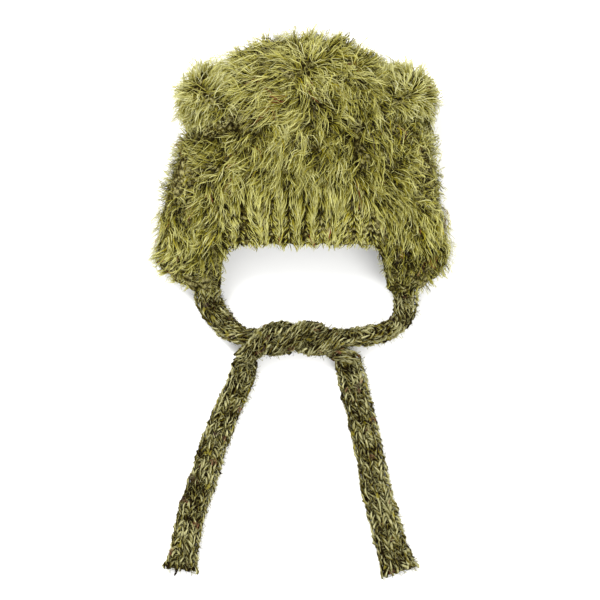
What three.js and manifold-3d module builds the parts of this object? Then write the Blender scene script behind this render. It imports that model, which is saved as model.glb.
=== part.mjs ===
// A shaggy knitted bonnet with two round ears, laid on its back with its ties half-knotted.
//
// The bonnet is knitted in one piece from a thick tweed yarn: a flattened tube that closes in a
// dome at the top and runs out into an ear flap at each side of the face opening. A long brushed
// pile covers it, modelled here as locks fused to the knitted wall. Two puffed ears are sewn on
// the upper corners. A flat knitted tie hangs from each flap, and the two are crossed three times
// in a half knot, with their free ends spread on the surface.
//
// Millimetres. +Z is up from the surface that it lies on, +Y runs from the ties to the top of the
// crown, and the origin is on the surface, under the middle of the crown.

import * as THREE from "three";
import { mergeVertices } from "three/addons/utils/BufferGeometryUtils.js";
import Module from "manifold-3d";

const wasm = await Module();
wasm.setup();

// Driving sizes of the crown.
const wallThickness = 6;
const wallColumns = 40;
const wallRows = 13;
const frontRoundness = 2.3; // superellipse exponent of the raised front
const backRoundness = 3.6; // the back lies flat, so its corners are squarer
const seatGap = 0.35; // between a sewn piece and what it is sewn to

// The knitted outer surface, section by section from the top of the crown down. y is the
// section's place, halfWidth its half width, top and bottom its highest and lowest point, fold
// the height of its widest point, and shift how far its middle lies off the centre line.
const sections = [
  { y: 97, halfWidth: 0, top: 25, bottom: 25, fold: 25, shift: 2 },
  { y: 93, halfWidth: 27, top: 39, bottom: 11, fold: 25, shift: 1 },
  { y: 85, halfWidth: 45, top: 48, bottom: 3, fold: 25, shift: 0 },
  { y: 74, halfWidth: 60, top: 55, bottom: -1, fold: 25, shift: 1 },
  { y: 58, halfWidth: 76, top: 61, bottom: -2, fold: 25, shift: 2 },
  { y: 38, halfWidth: 88, top: 65, bottom: -2, fold: 25, shift: 3 },
  { y: 14, halfWidth: 97, top: 67, bottom: -2, fold: 25, shift: 3 },
  { y: -10, halfWidth: 103, top: 66, bottom: -2, fold: 25, shift: 1 },
  { y: -34, halfWidth: 108, top: 63, bottom: -2, fold: 24, shift: -1 },
  { y: -56, halfWidth: 112, top: 57, bottom: -2, fold: 22, shift: -1 },
  { y: -72, halfWidth: 114, top: 49, bottom: -2, fold: 20, shift: 0 },
  { y: -86, halfWidth: 113, top: 37, bottom: -2, fold: 17, shift: 0 },
  { y: -98, halfWidth: 109, top: 25, bottom: -2, fold: 13, shift: 1 },
  { y: -110, halfWidth: 103, top: 15, bottom: -2, fold: 10, shift: 1 },
];

// The edge of the crown. around is the way round the wall from the middle of the front, and y
// is where the edge lies there: level over the brow, down the flap, and up round the back.
const edgeLine = [
  { around: 0, y: -68 },
  { around: 44, y: -68 },
  { around: 56, y: -71 },
  { around: 63, y: -86 },
  { around: 69, y: -103 },
  { around: 88, y: -105 },
  { around: 104, y: -97 },
  { around: 122, y: -83 },
  { around: 146, y: -71 },
  { around: 180, y: -63 },
  { around: 250, y: -60 },
];

// Interpolates one column of a table smoothly at a row number that may lie between two rows.
function column(rows, name, at) {
  const last = rows.length - 1;
  const i = Math.min(Math.max(Math.floor(at), 0), last - 1);
  const t = at - i;
  const value = (k) => rows[Math.min(Math.max(k, 0), last)][name];
  const [a, b, c, d] = [i - 1, i, i + 1, i + 2].map(value);
  const bend = 2 * a - 5 * b + 4 * c - d + (3 * b - 3 * c + d - a) * t;
  return b + 0.5 * t * (c - a + t * bend);
}

// The row number at which a rising or falling column reaches a value.
function rowWhere(rows, name, wanted) {
  const last = rows.length - 1;
  const rising = rows[last][name] > rows[0][name];
  let [low, high] = [0, last];
  for (let step = 0; step < 40; step++) {
    const middle = (low + high) / 2;
    if (column(rows, name, middle) < wanted === rising) low = middle;
    else high = middle;
  }
  return low;
}

// A repeatable random number from 0 to 1 for two whole numbers.
function chance(i, j) {
  const value = Math.sin(i * 127.1 + j * 311.7) * 43758.5453;
  return value - Math.floor(value);
}

// A signed power, which keeps the superellipse's quadrants apart.
const signedPower = (value, power) => Math.sign(value) * Math.abs(value) ** power;

// The point of a section at an angle: 0 at the right fold, a quarter turn at the front's middle.
function sectionPoint(row, angle) {
  const rise = Math.sin(angle);
  const roundness = rise > 0 ? frontRoundness : backRoundness;
  const fold = column(sections, "fold", row);
  const reach = rise > 0 ? column(sections, "top", row) - fold : fold - column(sections, "bottom", row);
  const x = signedPower(Math.cos(angle), 2 / roundness) * column(sections, "halfWidth", row);
  const z = fold + signedPower(rise, 2 / roundness) * reach;
  return new THREE.Vector3(x + column(sections, "shift", row), column(sections, "y", row), Math.max(z, 0));
}

// Angles that divide the widest part of the crown evenly, from the middle of the front round.
const girthSamples = 720;
const girthRow = 8;
const girth = [0];
for (let k = 1; k <= girthSamples; k++) {
  const at = (n) => sectionPoint(girthRow, Math.PI / 2 - (n / girthSamples) * 2 * Math.PI);
  girth.push(girth[k - 1] + at(k).distanceTo(at(k - 1)));
}
const fullGirth = girth[girthSamples];

function angleAround(distance) {
  const wanted = ((distance % fullGirth) + fullGirth) % fullGirth;
  let k = 1;
  while (girth[k] < wanted) k++;
  const share = (wanted - girth[k - 1]) / (girth[k] - girth[k - 1]);
  return Math.PI / 2 - ((k - 1 + share) / girthSamples) * 2 * Math.PI;
}

// The distance along the outline from the top of the crown to each fine step of the sections.
const outlineSteps = 400;
const lastSection = sections.length - 1;
const outline = [0];
for (let k = 1; k <= outlineSteps; k++) {
  const place = (n) => {
    const row = (n / outlineSteps) * lastSection;
    return new THREE.Vector2(column(sections, "halfWidth", row), column(sections, "y", row));
  };
  outline.push(outline[k - 1] + place(k).distanceTo(place(k - 1)));
}

function sectionAtLength(length) {
  let k = 1;
  while (k < outlineSteps && outline[k] < length) k++;
  const share = (length - outline[k - 1]) / (outline[k] - outline[k - 1]);
  return ((k - 1 + share) / outlineSteps) * lastSection;
}

// The length from the top of the crown to its edge, at a distance round the wall.
function lengthToEdge(distance) {
  const wrapped = ((distance % fullGirth) + fullGirth) % fullGirth;
  const fromFront = Math.min(wrapped, fullGirth - wrapped);
  const edgeY = column(edgeLine, "y", rowWhere(edgeLine, "around", fromFront));
  const row = rowWhere(sections, "y", edgeY);
  return outline[Math.round((row / lastSection) * outlineSteps)];
}

// The outer knitted surface at a distance round the wall and a share of the way down to the edge.
function crownPoint(distance, share) {
  const row = sectionAtLength(lengthToEdge(distance) * share);
  return sectionPoint(row, angleAround(distance));
}

function crownNormal(distance, share) {
  const step = 0.02;
  const near = Math.max(share, 0.03);
  const down = crownPoint(distance, Math.min(near + step, 1)).sub(crownPoint(distance, near - step));
  const round = crownPoint(distance + 2, near).sub(crownPoint(distance - 2, near));
  return down.cross(round).normalize();
}

// A closed shell from rings of points, fanned to a first and a last point.
function shell(first, rings, last) {
  const sides = rings[0].length;
  const points = [first, ...rings.flat(), last];
  const faces = [];
  const at = (ring, side) => 1 + ring * sides + (side % sides);
  for (let side = 0; side < sides; side++) {
    faces.push(0, at(0, side), at(0, side + 1));
    faces.push(points.length - 1, at(rings.length - 1, side + 1), at(rings.length - 1, side));
    for (let ring = 1; ring < rings.length; ring++) {
      faces.push(at(ring - 1, side), at(ring, side), at(ring, side + 1));
      faces.push(at(ring - 1, side), at(ring, side + 1), at(ring - 1, side + 1));
    }
  }
  const geometry = new THREE.BufferGeometry().setFromPoints(points);
  geometry.setIndex(faces);
  return geometry;
}

// A manifold-3d solid from a closed geometry, turned outwards if it is inside out.
function solid(geometry) {
  const bare = geometry.clone();
  bare.deleteAttribute("normal");
  bare.deleteAttribute("uv");
  const merged = mergeVertices(bare, 1e-4);
  const build = (triVerts) =>
    new wasm.Manifold(
      new wasm.Mesh({ numProp: 3, vertProperties: merged.attributes.position.array, triVerts }),
    );
  const triVerts = new Uint32Array(merged.index.array);
  const made = build(triVerts);
  return made.volume() > 0 ? made : build(triVerts.reverse());
}

function geometryOf(made) {
  const mesh = made.getMesh();
  const geometry = new THREE.BufferGeometry();
  geometry.setAttribute("position", new THREE.BufferAttribute(mesh.vertProperties, 3));
  geometry.setIndex(new THREE.BufferAttribute(mesh.triVerts, 1));
  geometry.computeVertexNormals();
  return geometry;
}

// The largest body of a solid, without any crumbs that a cut left beside it.
const largest = (made) => made.decompose().sort((a, b) => b.volume() - a.volume())[0];

// Rings of the crown from the top down, pushed out of the surface and run on past the edge.
function crownRings(push, overrun) {
  const rings = [];
  for (let row = 1; row <= wallRows; row++) {
    const ring = [];
    for (let k = 0; k < wallColumns; k++) {
      const distance = (k / wallColumns) * fullGirth;
      const share = (row / wallRows) * (1 + overrun / lengthToEdge(distance));
      const point = crownPoint(distance, share);
      ring.push(point.addScaledVector(crownNormal(distance, share), push));
    }
    rings.push(ring);
  }
  return rings;
}

const crownTop = (push) => sectionPoint(0, 0).add(new THREE.Vector3(0, push, 0));

// The knitted wall, grown by a gap: the outer surface down to the edge, and the inner one back up.
function crownWall(gap) {
  const inset = -wallThickness - gap;
  const rings = [...crownRings(gap, gap), ...crownRings(inset, gap).reverse()];
  return solid(shell(crownTop(gap), rings, crownTop(inset)));
}

// The whole room that the crown takes, hollow included, grown by a gap.
function crownRoom(gap) {
  const mouth = new THREE.Vector3(0, -70, 25);
  return solid(shell(crownTop(gap), crownRings(gap, gap), mouth));
}

// Pile locks on the crown: flattened, tapering tufts that start inside the wall.
const lockLength = 38;
const lockWidth = 23;
const lockDepth = 9;
const lockSpacing = 25;
const lockRoot = 1.5; // how deep a lock starts in the wall
const lockOverhang = 5; // how far the last locks hang over the edge
const lockRows = 10;
const steepest = 0.8; // no lock stands on the crown's end, which faces along +Y
const whorl = new THREE.Vector2(4, 80); // the pile parts here and is combed away all round

// A lock's outline along its length: how wide and deep it is, and how high its middle stands.
const lockShape = [
  { along: 0, size: 0.75, height: -lockRoot },
  { along: 0.45, size: 1, height: 2.2 },
  { along: 0.8, size: 0.6, height: 1.6 },
];
const lockTip = { along: 1, height: -0.6 };
const surfaceRadius = 110; // the crown's mean curvature, which a lock follows

// One lock, combed from a root point in a direction along a surface.
function lock(root, normal, combed, length, width, depth) {
  const along = combed.clone().addScaledVector(normal, -combed.dot(normal)).normalize();
  const across = new THREE.Vector3().crossVectors(normal, along);
  const at = (share, height, side, lift) => {
    const reach = share * length;
    const point = root
      .clone()
      .addScaledVector(along, reach)
      .addScaledVector(across, side)
      .addScaledVector(normal, height + lift - reach ** 2 / (2 * surfaceRadius));
    point.z = Math.max(point.z, 0);
    return point;
  };
  const rings = lockShape.map(({ along: share, size, height }) => [
    at(share, height, (-width / 2) * size, 0),
    at(share, height, 0, (-depth / 2) * size),
    at(share, height, (width / 2) * size, 0),
    at(share, height, 0, (depth / 2) * size),
  ]);
  const start = at(0, -lockRoot, 0, 0);
  return solid(shell(start, rings, at(lockTip.along, lockTip.height, 0, 0)));
}

// Which way the pile is combed at a point of the crown: away from the whorl near the top,
// towards the edge lower down, and outwards over the folds.
function combing(point) {
  const fromWhorl = new THREE.Vector2(point.x, point.y).sub(whorl);
  const nearTop = Math.exp(-((fromWhorl.length() / 55) ** 2));
  const away = fromWhorl.normalize();
  const down = new THREE.Vector2(point.x * 0.003, -1);
  const mixed = away.multiplyScalar(nearTop).add(down.multiplyScalar(1 - nearTop));
  return new THREE.Vector3(mixed.x, mixed.y, 0);
}

function crownLocks(keptClear) {
  const locks = [];
  for (let row = 0; row < lockRows; row++) {
    const around = Math.round((fullGirth / lockSpacing) * Math.min(1, 0.25 + row * 0.12));
    for (let k = 0; k < around; k++) {
      const distance = ((k + 0.5 * (row % 2) + 0.5 * chance(row, k)) / around) * fullGirth;
      const share = Math.min(0.97, 0.06 + row * (lockSpacing / lengthToEdge(distance)));
      const root = crownPoint(distance, share);
      const normal = crownNormal(distance, share);
      const toEdge = lengthToEdge(distance) * (1 - share);
      const length = Math.min(lockLength * (0.85 + 0.3 * chance(k, row)), toEdge + lockOverhang);
      const combed = combing(root);
      const end = root.clone().addScaledVector(combed, length);
      const clear = keptClear.every(
        ({ centre, reach }) => Math.min(root.distanceTo(centre), end.distanceTo(centre)) > reach,
      );
      const onSurface = normal.y < steepest && normal.z > -0.25 && root.z > 8;
      if (length > lockLength / 3 && onSurface && clear) {
        locks.push(lock(root, normal, combed, length, lockWidth, lockDepth));
      }
    }
  }
  return locks;
}

// The ears: puffed round pads sewn to the upper corners, each with its own ring of locks.
const earRadius = 26;
const earHalfDepth = 11;
const earLockLength = 15;
const earLockWidth = 14;
const earLockDepth = 9;
const earRimLocks = 10;
const earFaceLocks = 5;
const ears = [
  { name: "ear_left", centre: new THREE.Vector3(-75, 51, 40), facing: new THREE.Vector3(-0.34, 0.2, 1) },
  { name: "ear_right", centre: new THREE.Vector3(80, 48, 40), facing: new THREE.Vector3(0.34, 0.16, 1) },
];
for (const ear of ears) {
  ear.turn = new THREE.Quaternion().setFromUnitVectors(
    new THREE.Vector3(0, 0, 1),
    ear.facing.clone().normalize(),
  );
}

function earSolid(ear, room) {
  const pad = new THREE.SphereGeometry(1, 14, 8);
  pad.scale(earRadius, earRadius, earHalfDepth);
  const parts = [solid(pad)];
  const tuft = (angle, radius, height, outward) => {
    const root = new THREE.Vector3(Math.cos(angle) * radius, Math.sin(angle) * radius, height);
    const combed = new THREE.Vector3(Math.cos(angle), Math.sin(angle), 0);
    const normal = new THREE.Vector3(
      Math.cos(angle) * outward,
      Math.sin(angle) * outward,
      Math.sqrt(1 - outward ** 2),
    );
    return lock(root, normal, combed, earLockLength, earLockWidth, earLockDepth);
  };
  for (let k = 0; k < earRimLocks; k++) {
    parts.push(tuft((k / earRimLocks) * 2 * Math.PI, earRadius * 0.7, earHalfDepth * 0.35, 0.25));
  }
  for (let k = 0; k < earFaceLocks; k++) {
    parts.push(tuft(((k + 0.5) / earFaceLocks) * 2 * Math.PI, earRadius * 0.35, earHalfDepth * 0.8, 0.1));
  }
  const fused = wasm.Manifold.union(parts);
  const matrix = new THREE.Matrix4().compose(ear.centre, ear.turn, new THREE.Vector3(1, 1, 1));
  return largest(fused.transform(matrix.elements).subtract(room));
}

// The ties. Each row is a place on a tie's middle line: x, y, z, its width and thickness, and
// lean, the turn in degrees from lying flat to standing on edge.
const tieWidth = 21;
const tieThickness = 7;
const flatMiddle = tieThickness / 2 + 0.2;
const leftLead = [
  { x: -76, y: -100.6, z: 16.9, width: 19, thickness: 5, lean: -36 },
  { x: -76, y: -106.5, z: 12.6, width: 20, thickness: 6, lean: -33 },
  { x: -75, y: -114, z: 8.8, width: 20, thickness: 7, lean: -18 },
  { x: -71, y: -122, z: 7, width: 19, thickness: 8, lean: 0 },
  { x: -65, y: -129.5, z: 7, width: 18, thickness: 9, lean: 15 },
  { x: -58, y: -136, z: 8.5, width: 17, thickness: 10, lean: 35 },
];
const rightLead = [
  { x: 82, y: -100.4, z: 16.8, width: 19, thickness: 5, lean: -36 },
  { x: 83, y: -106.5, z: 12.6, width: 19, thickness: 6, lean: -34 },
  { x: 83, y: -115, z: 9.6, width: 18, thickness: 8, lean: -36 },
  { x: 81, y: -125, z: 9, width: 16, thickness: 9, lean: -50 },
  { x: 74, y: -133, z: 9.5, width: 15, thickness: 10, lean: -60 },
  { x: 63, y: -138.5, z: 10.5, width: 15, thickness: 12, lean: -65 },
  { x: 51, y: -141, z: 12, width: 15, thickness: 12.5, lean: -75 },
];
const leftTail = [
  { x: -46, y: -162.5, z: 8, width: 18, thickness: 9, lean: 40 },
  { x: -49.5, y: -175, z: 5.4, width: 19, thickness: 7.5, lean: 12 },
  { x: -55.5, y: -190, z: flatMiddle, width: 20, thickness: tieThickness, lean: 0 },
  { x: -67, y: -216, z: flatMiddle, width: 20, thickness: tieThickness, lean: 0 },
  { x: -77, y: -246, z: flatMiddle, width: tieWidth, thickness: tieThickness, lean: 0 },
  { x: -87, y: -276, z: flatMiddle, width: tieWidth, thickness: tieThickness, lean: 0 },
  { x: -94, y: -304, z: flatMiddle, width: tieWidth, thickness: tieThickness, lean: 0 },
  { x: -98, y: -329, z: flatMiddle, width: 22, thickness: tieThickness, lean: 0 },
];
const rightTail = [
  { x: 36.5, y: -162, z: 8, width: 20, thickness: 9, lean: -40 },
  { x: 40.5, y: -176, z: 5.4, width: 21.5, thickness: 7.5, lean: -12 },
  { x: 43.5, y: -192, z: flatMiddle, width: tieWidth, thickness: tieThickness, lean: 0 },
  { x: 50, y: -218, z: flatMiddle, width: tieWidth, thickness: tieThickness, lean: 0 },
  { x: 56, y: -248, z: flatMiddle, width: 22, thickness: tieThickness, lean: 0 },
  { x: 62, y: -276, z: flatMiddle, width: 23, thickness: tieThickness, lean: 0 },
  { x: 70, y: -304, z: flatMiddle, width: 24, thickness: tieThickness, lean: 0 },
  { x: 78, y: -331, z: flatMiddle, width: 26, thickness: tieThickness, lean: 0 },
];

// The half knot: both ties wind round one line, a half turn apart, three half turns in all. Seen
// from above, each crosses over the other from the knot's lower side to its upper one.
const knotStart = -46;
const knotEnd = 33;
const knotY = -149;
const knotArch = 7; // how far the middle of the knot stands above its ends in the plan
const knotHeight = 13.6;
const knotRadius = 6.9;
const knotWidth = 14;
const knotThickness = 11;
const knotHalfTurns = 3;
const knotSteps = 18;

// A station is a tie's middle, its section's size and its flat side's direction. In the knot a flat
// side faces away from the knot's line or, with a flatSide of -1, towards it.
function knotStations(startAngle, flatSide) {
  const stations = [];
  for (let k = 0; k <= knotSteps; k++) {
    const share = k / knotSteps;
    const angle = startAngle + share * knotHalfTurns * Math.PI;
    const away = new THREE.Vector3(0, Math.cos(angle), -Math.sin(angle));
    const middle = new THREE.Vector3(
      knotStart + share * (knotEnd - knotStart),
      knotY + knotArch * Math.sin(share * Math.PI),
      knotHeight,
    );
    stations.push({
      middle: middle.addScaledVector(away, knotRadius),
      facing: away.clone().multiplyScalar(flatSide),
      width: knotWidth,
      thickness: knotThickness,
    });
  }
  return stations;
}

function laidStations(rows) {
  return rows.map((row) => {
    const lean = THREE.MathUtils.degToRad(row.lean);
    return {
      middle: new THREE.Vector3(row.x, row.y, row.z),
      facing: new THREE.Vector3(0, Math.sin(lean), Math.cos(lean)),
      width: row.width,
      thickness: row.thickness,
    };
  });
}

// A flat knitted tie with rounded edges, lofted through its stations.
const tieSides = 8;
const tieStep = 9;
const tieSquareness = 2.6;
function tie(stations) {
  const route = new THREE.CatmullRomCurve3(stations.map((station) => station.middle), false, "centripetal");
  const lengths = [0];
  for (let k = 1; k < stations.length; k++) {
    lengths.push(lengths[k - 1] + stations[k].middle.distanceTo(stations[k - 1].middle));
  }
  const rings = [];
  stations.forEach((station, k) => {
    const next = stations[k + 1];
    const parts = next ? Math.max(1, Math.round((lengths[k + 1] - lengths[k]) / tieStep)) : 1;
    for (let part = 0; part < (next ? parts : 1); part++) {
      const share = part / parts;
      const at = (k + share) / (stations.length - 1);
      const middle = route.getPoint(at);
      const tangent = route.getTangent(at);
      const facing = next ? station.facing.clone().lerp(next.facing, share) : station.facing.clone();
      facing.addScaledVector(tangent, -facing.dot(tangent)).normalize();
      const across = new THREE.Vector3().crossVectors(tangent, facing);
      const width = next ? THREE.MathUtils.lerp(station.width, next.width, share) : station.width;
      const thickness = next ? THREE.MathUtils.lerp(station.thickness, next.thickness, share) : station.thickness;
      const ring = [];
      for (let side = 0; side < tieSides; side++) {
        const angle = ((side + 0.5) / tieSides) * 2 * Math.PI;
        const point = middle
          .clone()
          .addScaledVector(across, (signedPower(Math.cos(angle), 2 / tieSquareness) * width) / 2)
          .addScaledVector(facing, (signedPower(Math.sin(angle), 2 / tieSquareness) * thickness) / 2);
        point.z = Math.max(point.z, 0.1);
        ring.push(point);
      }
      rings.push(ring);
    }
  });
  const centreOf = (ring) =>
    ring.reduce((sum, point) => sum.add(point), new THREE.Vector3()).divideScalar(ring.length);
  return solid(shell(centreOf(rings[0]), rings, centreOf(rings[rings.length - 1])));
}

// The left tie enters the knot at its upper side and leaves it at the right, and the right tie
// the other way round. The knot's stations run from left to right.
const quarterTurn = Math.PI / 2;
const leftTieStations = [
  ...laidStations(leftLead),
  ...knotStations(0, 1),
  ...laidStations(rightTail),
];
const rightTieStations = [
  ...laidStations(rightLead),
  ...knotStations(2 * quarterTurn, -1).reverse(),
  ...laidStations(leftTail),
];

// Finishes, from the yarns: a shaggy olive pile over a dark tweed ground.
const pileFinish = new THREE.MeshStandardMaterial({ color: 0x8f8a4e, roughness: 0.95, metalness: 0 });
const earFinish = new THREE.MeshStandardMaterial({ color: 0x9a9555, roughness: 0.95, metalness: 0 });
const tieFinish = new THREE.MeshStandardMaterial({ color: 0x6c6643, roughness: 0.95, metalness: 0 });

function named(name, made, finish) {
  const mesh = new THREE.Mesh(geometryOf(made), finish);
  mesh.name = name;
  return mesh;
}

// No lock stands where an ear or a tie is sewn on.
const keptClear = [
  ...ears.map((ear) => ({ centre: ear.centre, reach: earRadius + 9 })),
  { centre: leftTieStations[0].middle, reach: tieWidth },
  { centre: rightTieStations[0].middle, reach: tieWidth },
];
const room = crownRoom(seatGap);
const seat = crownWall(seatGap);
const crown = wasm.Manifold.union([crownWall(0), ...crownLocks(keptClear)]);

const bonnet = new THREE.Group();
bonnet.add(named("crown", largest(crown), pileFinish));
for (const ear of ears) {
  bonnet.add(named(ear.name, earSolid(ear, room), earFinish));
}
bonnet.add(named("tie_left", largest(tie(leftTieStations).subtract(seat)), tieFinish));
bonnet.add(named("tie_right", largest(tie(rightTieStations).subtract(seat)), tieFinish));

export default bonnet;
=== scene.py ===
import math
from collections import namedtuple

import bmesh
import bpy
import numpy as np
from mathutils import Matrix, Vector
from mathutils.bvhtree import BVHTree


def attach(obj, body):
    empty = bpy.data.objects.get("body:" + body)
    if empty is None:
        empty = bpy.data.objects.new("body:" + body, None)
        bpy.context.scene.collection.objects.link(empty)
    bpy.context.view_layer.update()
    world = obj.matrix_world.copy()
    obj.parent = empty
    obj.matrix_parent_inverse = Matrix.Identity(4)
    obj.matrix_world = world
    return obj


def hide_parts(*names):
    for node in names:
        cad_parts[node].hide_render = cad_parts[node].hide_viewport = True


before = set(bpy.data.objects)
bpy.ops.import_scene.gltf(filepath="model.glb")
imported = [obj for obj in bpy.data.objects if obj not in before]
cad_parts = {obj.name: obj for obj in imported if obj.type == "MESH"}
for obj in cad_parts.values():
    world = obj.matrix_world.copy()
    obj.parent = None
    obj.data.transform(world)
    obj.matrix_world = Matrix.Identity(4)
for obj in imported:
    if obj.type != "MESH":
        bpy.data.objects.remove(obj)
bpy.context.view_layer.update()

# Camera: a long lens straight above the bonnet, which lies on its back. The picture is 600 pixels
# wide, and one pixel is 0.8 mm at the height of the crown's folds.
mm = 0.001
picture_pixels = 600
pixel_size = 0.8 * mm
lens_height = 2600 * mm
fold_height = 25 * mm
sensor_width = 36
picture_centre = (-2 * mm, -112 * mm)

camera_data = bpy.data.cameras.new("camera")
camera_data.sensor_width = sensor_width
camera_data.lens = sensor_width * (lens_height - fold_height) / (picture_pixels * pixel_size)
camera = bpy.data.objects.new("camera", camera_data)
camera.location = (*picture_centre, lens_height)
bpy.context.collection.objects.link(camera)
bpy.context.scene.camera = camera


# Light: one large soft box above the top left of the picture, one weaker opposite it, and an even
# white surround, as on a photographer's white table.
def linear(hex_colour):
    """The linear RGBA of an sRGB hex colour such as #8f8a4e."""
    parts = [int(hex_colour[k : k + 2], 16) / 255 for k in (1, 3, 5)]
    return (*(p / 12.92 if p <= 0.04045 else ((p + 0.055) / 1.055) ** 2.4 for p in parts), 1.0)


def soft_box(name, place, size, watts):
    data = bpy.data.lights.new(name, "AREA")
    data.shape = "DISK"
    data.size = size
    data.energy = watts
    lamp = bpy.data.objects.new(name, data)
    lamp.location = place
    aim = -lamp.location.normalized()
    lamp.rotation_euler = aim.to_track_quat("-Z", "Y").to_euler()
    bpy.context.collection.objects.link(lamp)


soft_box("key_light", (-0.6, 1.0, 1.6), 0.9, 42)
soft_box("fill_light", (0.9, -0.7, 1.7), 1.2, 14)
surround = bpy.data.worlds.new("surround")
surround.use_nodes = True
surround.node_tree.nodes["Background"].inputs["Color"].default_value = linear("#ffffff")
surround.node_tree.nodes["Background"].inputs["Strength"].default_value = 1.25
bpy.context.scene.world = surround
bpy.context.scene.view_settings.view_transform = "Standard"


# Floor: the matt white table top that the bonnet lies on. It is painted, without a shine, and runs
# past the picture on all sides.
def add(tree, kind, settings, inputs):
    """Adds a node with its settings, and sets its inputs or links them to a socket or a node."""
    made = tree.nodes.new(kind)
    for name, value in settings.items():
        setattr(made, name, value)
    for key, value in inputs.items():
        if isinstance(value, bpy.types.Node):
            value = value.outputs[0]
        if isinstance(value, bpy.types.NodeSocket):
            tree.links.new(value, made.inputs[key])
        else:
            made.inputs[key].default_value = value
    return made


def new_material(name, roughness, shine):
    """A material, its tree of nodes, and its Principled BSDF."""
    material = bpy.data.materials.new(name)
    material.use_nodes = True
    shader = material.node_tree.nodes["Principled BSDF"]
    shader.inputs["Roughness"].default_value = roughness
    shader.inputs["Specular IOR Level"].default_value = shine
    return material, material.node_tree, shader


def mesh_object(name, points, faces):
    mesh = bpy.data.meshes.new(name)
    mesh.from_pydata([tuple(p) for p in points], [], faces, shade_flat=False)
    mesh.validate()
    made = bpy.data.objects.new(name, mesh)
    bpy.context.collection.objects.link(made)
    return made


floor_half = 3.0
floor_corners = [(x * floor_half, y * floor_half, 0) for x, y in ((-1, -1), (1, -1), (1, 1), (-1, 1))]
table_top = mesh_object("table_top", floor_corners, [(0, 1, 2, 3)])
table_paint, _, shader = new_material("matt_white_paint", 0.9, 0.5)
shader.inputs["Base Color"].default_value = linear("#fbfbfa")
table_top.data.materials.append(table_paint)

# Crown: the body of the bonnet and its two ear flaps, hand-knitted in one piece from a thick tweed
# yarn. It lies on its back, so its tube is flat below and rounded above, closed at the top of the
# head and open at the brim. Its lower part is ribbed.

# The sections run from the top of the head to the edge of the flaps, in millimetres: half the
# width, the heights of the front, the back and the side folds, and a shift to the right. The table
# presses flat what would lie below it.
Section = namedtuple("Section", "y half_width top bottom fold shift")
crown_sections = [
    Section(97, 0, 25, 25, 25, 2),
    Section(93, 27, 39, 11, 25, 1),
    Section(85, 45, 48, 3, 25, 0),
    Section(74, 60, 55, -1, 25, 1),
    Section(58, 76, 61, -2, 25, 2),
    Section(38, 88, 65, -2, 25, 3),
    Section(14, 97, 67, -2, 25, 3),
    Section(-10, 103, 66, -2, 25, 1),
    Section(-34, 108, 63, -2, 24, -1),
    Section(-56, 112, 57, -2, 22, -1),
    Section(-72, 114, 49, -2, 20, 0),
    Section(-86, 113, 37, -2, 17, 0),
    Section(-98, 109, 25, -2, 13, 1),
    Section(-110, 103, 15, -2, 10, 1),
]
# The edge's height at a distance round from the middle of the front: the brim, a flap and the
# back, in millimetres.
EdgePoint = namedtuple("EdgePoint", "around y")
crown_edge = [
    EdgePoint(0, -68),
    EdgePoint(44, -68),
    EdgePoint(56, -71),
    EdgePoint(63, -86),
    EdgePoint(69, -103),
    EdgePoint(88, -105),
    EdgePoint(104, -97),
    EdgePoint(122, -83),
    EdgePoint(146, -71),
    EdgePoint(180, -63),
    EdgePoint(250, -60),
]
front_roundness = 2.3
back_roundness = 3.6
wall_thickness = 6
widest_row = 8
# The knitting. A V stitch's legs climb a share of a row across a column, or wale, of stitches.
rib_count = 39
rib_phase = 2.8
ribbed_length = 42
rib_depth = 1.3
stitch_width = 6.3
stitch_height = 5.0
stitch_relief = 0.8
leg_slant = 0.9


def column(rows, name, at):
    """One column of a table, interpolated smoothly at row numbers that may lie between two rows."""
    values = np.array([getattr(row, name) for row in rows], float)
    last = len(values) - 1
    low = np.clip(np.floor(at).astype(int), 0, last - 1)
    t = at - low
    a, b, c, d = (values[np.clip(low + k, 0, last)] for k in (-1, 0, 1, 2))
    return b + 0.5 * t * (c - a + t * (2 * a - 5 * b + 4 * c - d + (3 * b - 3 * c + d - a) * t))


def signed_power(value, power):
    return np.sign(value) * np.abs(value) ** power


def section_point(row, angle):
    """The crown's outer surface in millimetres at a section and an angle, a quarter turn in front."""
    rise = np.sin(angle)
    roundness = np.where(rise > 0, front_roundness, back_roundness)
    fold = column(crown_sections, "fold", row)
    top = column(crown_sections, "top", row) - fold
    bottom = fold - column(crown_sections, "bottom", row)
    x = signed_power(np.cos(angle), 2 / roundness) * column(crown_sections, "half_width", row)
    z = fold + signed_power(rise, 2 / roundness) * np.where(rise > 0, top, bottom)
    x = x + column(crown_sections, "shift", row)
    return np.stack([x, column(crown_sections, "y", row) + 0 * x, np.maximum(z, 0)], -1)


def run_lengths(points):
    return np.concatenate([[0], np.cumsum(np.linalg.norm(np.diff(points, axis=0), axis=1))])


def unit(vectors):
    return vectors / np.maximum(np.linalg.norm(vectors, axis=-1, keepdims=True), 1e-9)


def below(value, limit, softness):
    """1 where a value is below a limit and 0 where it is above it, in a soft step."""
    return 1 / (1 + np.exp((value - limit) / softness))


def above(value, limit, softness):
    return below(-value, -limit, softness)


girth_angles = math.pi / 2 - np.linspace(0, 2 * math.pi, 721)
girth = run_lengths(section_point(np.full(721, float(widest_row)), girth_angles))
full_girth = girth[-1]
outline_rows = np.linspace(0, len(crown_sections) - 1, 401)
outline_y = column(crown_sections, "y", outline_rows)
outline = run_lengths(np.stack([column(crown_sections, "half_width", outline_rows), outline_y], -1))
edge_rows = np.linspace(0, len(crown_edge) - 1, 401)
edge_around = column(crown_edge, "around", edge_rows)
edge_y = column(crown_edge, "y", edge_rows)


def length_to_edge(distance):
    wrapped = np.mod(distance, full_girth)
    y = np.interp(np.minimum(wrapped, full_girth - wrapped), edge_around, edge_y)
    return np.interp(-y, -outline_y, outline)


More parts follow.
